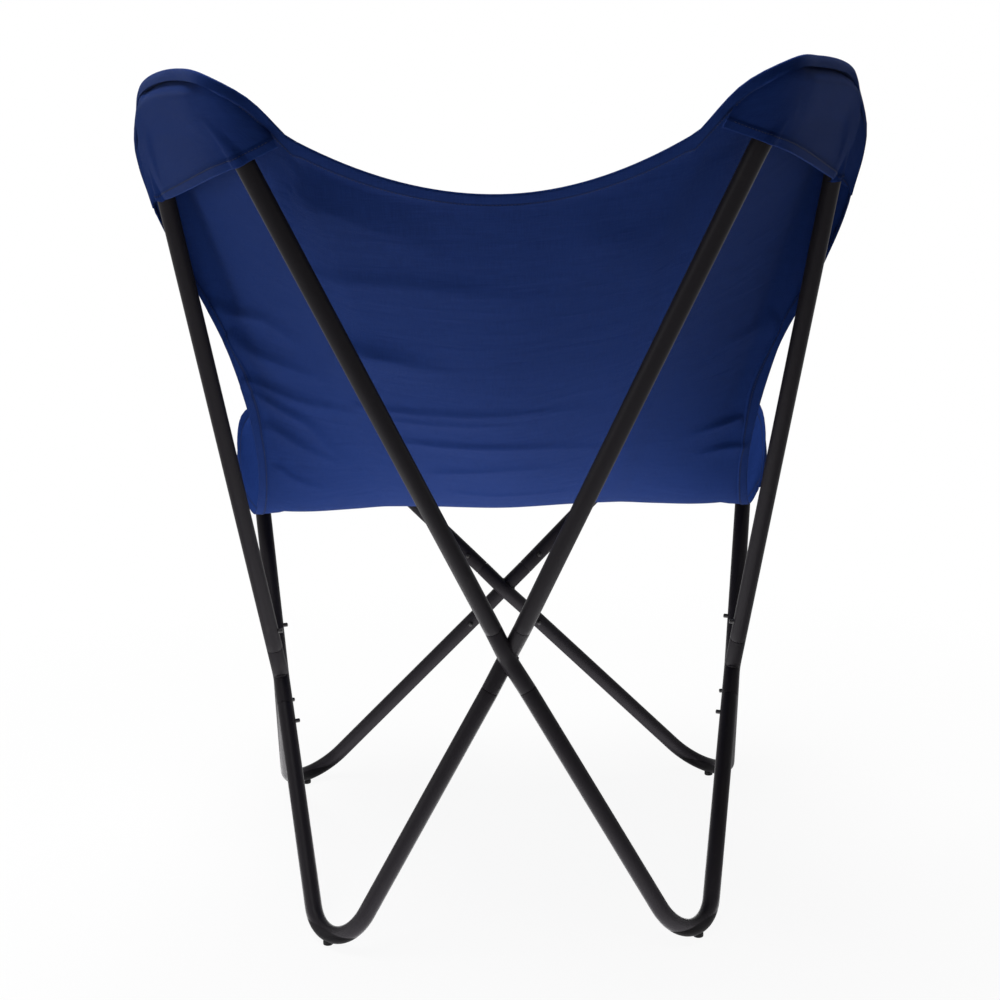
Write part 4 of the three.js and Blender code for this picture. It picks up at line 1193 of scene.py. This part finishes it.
def stitches(name, grid, front, back, lines):
    """Short threads on both faces that rise from the cloth and dive back into it: rings that swell
    to the thread's radius in the middle and close to points at both ends."""
    sewn = (sewn_lines(grid, depth, lines) for depth in (front, -back))
    centre, way, out = (np.concatenate(part)[:, None, None] for part in zip(*sewn))
    way = unit(way)
    out = unit(out - way * np.sum(out * way, -1, keepdims=True))
    rings = len(STITCH_SWELL)
    along, swell, lift = (row[None, :, None, None] for row in (
        np.linspace(-0.5, 0.5, rings) * STITCH_LENGTH,
        STITCH_SWELL * THREAD_RADIUS, STITCH_LIFT * THREAD_RADIUS))
    angle = np.linspace(0, 2 * np.pi, THREAD_SIDES, endpoint=False)[None, None, :, None]
    raised = centre + along * way + (lift + swell * np.cos(angle)) * out
    points = raised + swell * np.sin(angle) * np.cross(way, out)
    first = np.arange(len(points)) * rings * THREAD_SIDES
    faces = grid_faces(rings, THREAD_SIDES, close_columns=True)[None] + first[:, None, None]
    piece = mesh_piece(name, points, faces.reshape(-1, 4), THREAD_SHARP)
    return dressed(piece, blue_thread, "canvas", "chair")


back_corners = {
    side_name: sling_corner(members["back_left_bow"], {**BACK_CLOTH, **cloth})
    for side_name, cloth in BACK_SIDES.items()
}
front_corner = sling_corner(members["front_left_bow"], FRONT_CLOTH)

side_steps = hem_steps(HEM_WIDTH)
rim_steps = np.concatenate((side_steps, RIM_STEPS))
curve_rows = np.concatenate((
    np.linspace(0.0, BACK_SHARE, BACK_ROWS), np.linspace(BACK_SHARE, 1.0, SEAT_ROWS)[1:],
))
curve_rows = curve_rows[(curve_rows > CLEAR_SHARES[0]) & (curve_rows < CLEAR_SHARES[1])]
places = np.concatenate((rim_steps, curve_rows, rim_steps[::-1]))
counts = (len(rim_steps), len(curve_rows), len(rim_steps))
kinds = np.repeat((FROM_BACK, ON_CURVE, FROM_FRONT), counts)
shares = np.concatenate(
    (half_shares(-1)[:, ::-1], np.zeros((len(places), 1)), half_shares(1)), axis=1)

row_kinds = np.repeat(kinds[:, None], shares.shape[1], axis=1)
row_ends = np.where(row_kinds == FROM_FRONT, FROM_FRONT, FROM_BACK)
flap_shares = np.where(row_ends == FROM_FRONT, FRONT_CLOTH["flap_share"], BACK_CLOTH["flap_share"])
on_wing = eased(np.abs(shares), flap_shares, WING_FADE)
slants = [hem_slant(back_corners[side_name], front_corner, shares, row_ends) for side_name in SIDES]
slant = np.where(shares >= 0, *slants) * (HEM_SPREAD + (1 - HEM_SPREAD) * on_wing)
row_places = places[:, None] * np.where(row_kinds == ON_CURVE, 1.0, slant)
panel_grid = panel_point(shares, row_places, row_kinds, slant)
on_back = 1 - eased(row_places, *FOLDS_END) * (row_kinds == ON_CURVE) - (row_kinds == FROM_FRONT)
folded_out = on_back * sum(crease(panel_grid, fold) for fold in FOLDS)
panel_grid = panel_grid - cloth_normals(panel_grid) * folded_out[..., None]
for name, made in members.items():
    if name.endswith("_bow"):
        panel_grid = off_tube(panel_grid, made["path"][0])

from_side = np.full(shares.shape[1], FAR_AWAY)
from_side[:len(side_steps)] = side_steps
from_side[-len(side_steps):] = side_steps[::-1]
from_end = np.where(kinds == ON_CURVE, FAR_AWAY, places)
edge_distance = np.minimum(from_side[None, :], from_end[:, None])
rounded, dent, fold = hem_profile(edge_distance, HEM_WIDTH)
panel_front = rounded * (CANVAS / 2) - dent * STITCH_DENT
panel_back = rounded * (CANVAS / 2 + HEM_FOLD * fold) - dent * STITCH_DENT
panel_sewn = np.abs(edge_distance - STITCH_IN)

blue_canvas = canvas_material()
blue_thread = thread_material()
panel = cloth_sheet("sling_cloth", panel_grid, panel_front, panel_back, panel_sewn)
dressed(panel, blue_canvas, "canvas", "chair", "sling_panel")
row_in = int(np.argmin(np.abs(side_steps - STITCH_IN)))
last_row, last_column = (size - 1 - row_in for size in panel_grid.shape[:2])
all_rows, all_columns = np.arange(row_in, last_row + 1), np.arange(row_in, last_column + 1)
panel_lines = [np.broadcast_arrays(i, j) for i, j in (
    (row_in, all_columns), (last_row, all_columns), (all_rows, row_in), (all_rows, last_column))]
stitches("sling_threads", panel_grid, panel_front, panel_back, panel_lines)

# Corner pockets. Four pieces of the same canvas behind the wings, sewn in under the panel's turned
# edge. They hook over the bows and carry the whole sling. Each is open at its own hem.
POCKET_SLACK = 0.0012
POCKET_INSET = 0.02
POCKET_COLUMNS = 110
POCKET_ROWS = 40
POCKET_HEM = 0.0105
POCKET_HEM_STEPS = np.array((
    0.0, 0.0003, 0.0008, 0.0016, 0.0035, 0.006, 0.0080, 0.0086, 0.0092, 0.0101, 0.0105, 0.0109,
))
POCKET_HEM_SHARE = 0.45
POCKET_HEM_FOLD = 0.7
POCKET_STITCH_IN = 0.0086
POCKET_STITCH_ENDS = 2
BEHIND_HEM = 0.0003
END_LIFT = (0.8, 0.18)
RIM_BLEND = 0.5
FIRST_OVER = 0.12
FIRST_OVER_FADE = 0.2


def pocket_sheet(corner, mirror, at_front):
    """Cloth between the panel's sewn rim and the pocket's hem: straight lines from one to the
    other, pushed out behind the tube as tight cloth goes over it, with a turned hem at the end."""
    begin, flap_share = corner["cloth"]["start"], corner["cloth"]["flap_share"]
    q = np.linspace(begin, 1 - POCKET_INSET, POCKET_COLUMNS)
    s = flap_share + (1 - flap_share) * q
    outside = -corner["normal"](s)

    def outwards(points):
        """How far points lie outside the axis of the bow's tube."""
        return np.sum(from_axis(points, corner["path"]) * outside, -1)

    halves = (back_corners["left"] if at_front else corner, front_corner)
    kind = np.full(len(s), FROM_FRONT if at_front else FROM_BACK)
    slant = hem_slant(*halves, s, kind)
    rim = half_panel(*halves, s, (HEM_WIDTH + BEHIND_HEM) * slant, kind, slant) + outside * CANVAS
    hem = along_curve(corner["hem"], (q - begin) / (1 - begin))
    deep = length_of(hem - rim)
    steps = POCKET_HEM_STEPS[:, None]
    hem_rows = np.minimum(steps, POCKET_HEM_SHARE * deep[None, :] * steps / steps[-1])
    rise = (1 - np.cos(np.linspace(0, np.pi / 2, POCKET_ROWS)))[:, None]
    distance = np.concatenate((rise * (deep - hem_rows[-1]), (deep - hem_rows)[-2::-1]))
    share = distance / deep
    point = rim + (hem - rim) * share[..., None]
    clear = TUBE_RADIUS + TUBE_TO_CLOTH + POCKET_SLACK
    lift = outwards(rim)
    lift = lift * (1 - share) + lift[-1] * eased(q, *END_LIFT) * share
    lift = lift + (1 - eased(share, 0, RIM_BLEND)) * (outwards(point) - lift)
    height = np.clip(clear - lift, 0, clear + shortfall(point, corner["path"], outside))
    over = FIRST_OVER + (1 - FIRST_OVER) * eased(q, begin, FIRST_OVER_FADE)
    over = over_tube(distance + STITCH_IN) * over
    grid = off_tube(point + outside * (height * over)[..., None], corner["path"]) * mirror
    from_hem = deep - distance
    rounded, _, fold = hem_profile(from_hem, POCKET_HEM)
    skin = rounded * CANVAS / 2
    folded = skin + HEM_FOLD * POCKET_HEM_FOLD * fold * rounded
    outward = np.sum(cloth_normals(grid) * (outside * mirror)) > 0
    front, back = (folded, skin) if outward else (skin, folded)
    return grid, front, back, np.abs(from_hem - POCKET_STITCH_IN)


for side_name, mirror in SIDES.items():
    for end_name, corner in (("back", back_corners[side_name]), ("front", front_corner)):
        grid, front, back, sewn = pocket_sheet(corner, mirror, end_name == "front")
        name = f"{end_name}_{side_name}_pocket"
        pocket = cloth_sheet(name + "_cloth", grid, front, back, sewn)
        dressed(pocket, blue_canvas, "canvas", "chair", name)
        hem_row = int(np.argmin(sewn[:, POCKET_COLUMNS // 2]))
        columns = np.arange(POCKET_STITCH_ENDS, POCKET_COLUMNS - POCKET_STITCH_ENDS)
        stitches(name + "_threads", grid, front, back, [np.broadcast_arrays(hem_row, columns)])

# Stage: a plain pale floor and a white surround. A wide soft light hangs over the chair, a smaller
# one stands at its left side, and a third stands in for the light that the lit floor gives back.
FLOOR_HALF = 8.0
FLOOR_COLOUR = (0.82, 0.82, 0.82, 1)
FLOOR_WHITENESS = (0.93, 1.0)
WHITENESS_REACH = (0.55, 1.5)
WHITE = (1, 1, 1, 1)
WORLD_LIGHT = 0.035
# Each row: name, watts, place, aim and size of a square lamp.
LAMPS = (
    ("overhead_softbox", 84, (0.3, 0.2, 2.6), (0.0, 0.0, 0.0), 1.6),
    ("side_softbox", 10, (1.9, 0.55, 0.5), (0.0, 0.1, 0.55), 0.8),
    ("lit_floor", 6.6, (0.1, 0.05, 0.02), (0.1, 0.05, 1.0), 0.8),
)
floor_corners = np.array(((-1, -1, 0), (1, -1, 0), (1, 1, 0), (-1, 1, 0))) * FLOOR_HALF
floor_mesh = bpy.data.meshes.new("pale_floor")
floor_mesh.from_pydata(floor_corners.tolist(), [], [(0, 1, 2, 3)])
floor = linked("pale_floor", floor_mesh)


def seen_directly(tree):
    """1 for rays from the camera, straight, mirrored or through glass, otherwise 0."""
    path = tree.nodes.new("ShaderNodeLightPath").outputs
    straight = sum_of(tree, "MAXIMUM", path["Is Camera Ray"], path["Is Glossy Ray"])
    return sum_of(tree, "MAXIMUM", straight, path["Is Transmission Ray"])


floor_paint, tree, shader = new_material("pale_floor", Base_Color=FLOOR_COLOUR, Roughness=0.9)
glow = shader_node(tree, "ShaderNodeEmission", {"Color": WHITE, "Strength": 1.0})
from_chair = shader_node(
    tree, "ShaderNodeVectorMath", {0: object_place(tree)}, "Value", operation="LENGTH")
whiteness = between(tree, from_chair, *FLOOR_WHITENESS, *WHITENESS_REACH,
                    interpolation_type="SMOOTHSTEP")
share = sum_of(tree, "MULTIPLY", seen_directly(tree), whiteness)
mixed = shader_node(tree, "ShaderNodeMixShader", {0: share, 1: shader.outputs[0], 2: glow})
set_inputs(tree.nodes["Material Output"], {"Surface": mixed})
floor_mesh.materials.append(floor_paint)

world = bpy.data.worlds.new("white_surround")
world.use_nodes = True
bpy.context.scene.world = world
tree = world.node_tree
strength = between(tree, seen_directly(tree), WORLD_LIGHT, 1.0)
set_inputs(tree.nodes["Background"], {"Strength": strength, "Color": WHITE})

for name, watts, place, aim, size in LAMPS:
    light = bpy.data.lights.new(name, "AREA")
    light.energy = watts
    light.size = size
    lamp = linked(name, light)
    lamp.location = place
    lamp.visible_camera = False
    lamp.rotation_euler = (Vector(aim) - Vector(place)).to_track_quat("-Z", "Y").to_euler()

bpy.context.scene.view_settings.view_transform = "Standard"
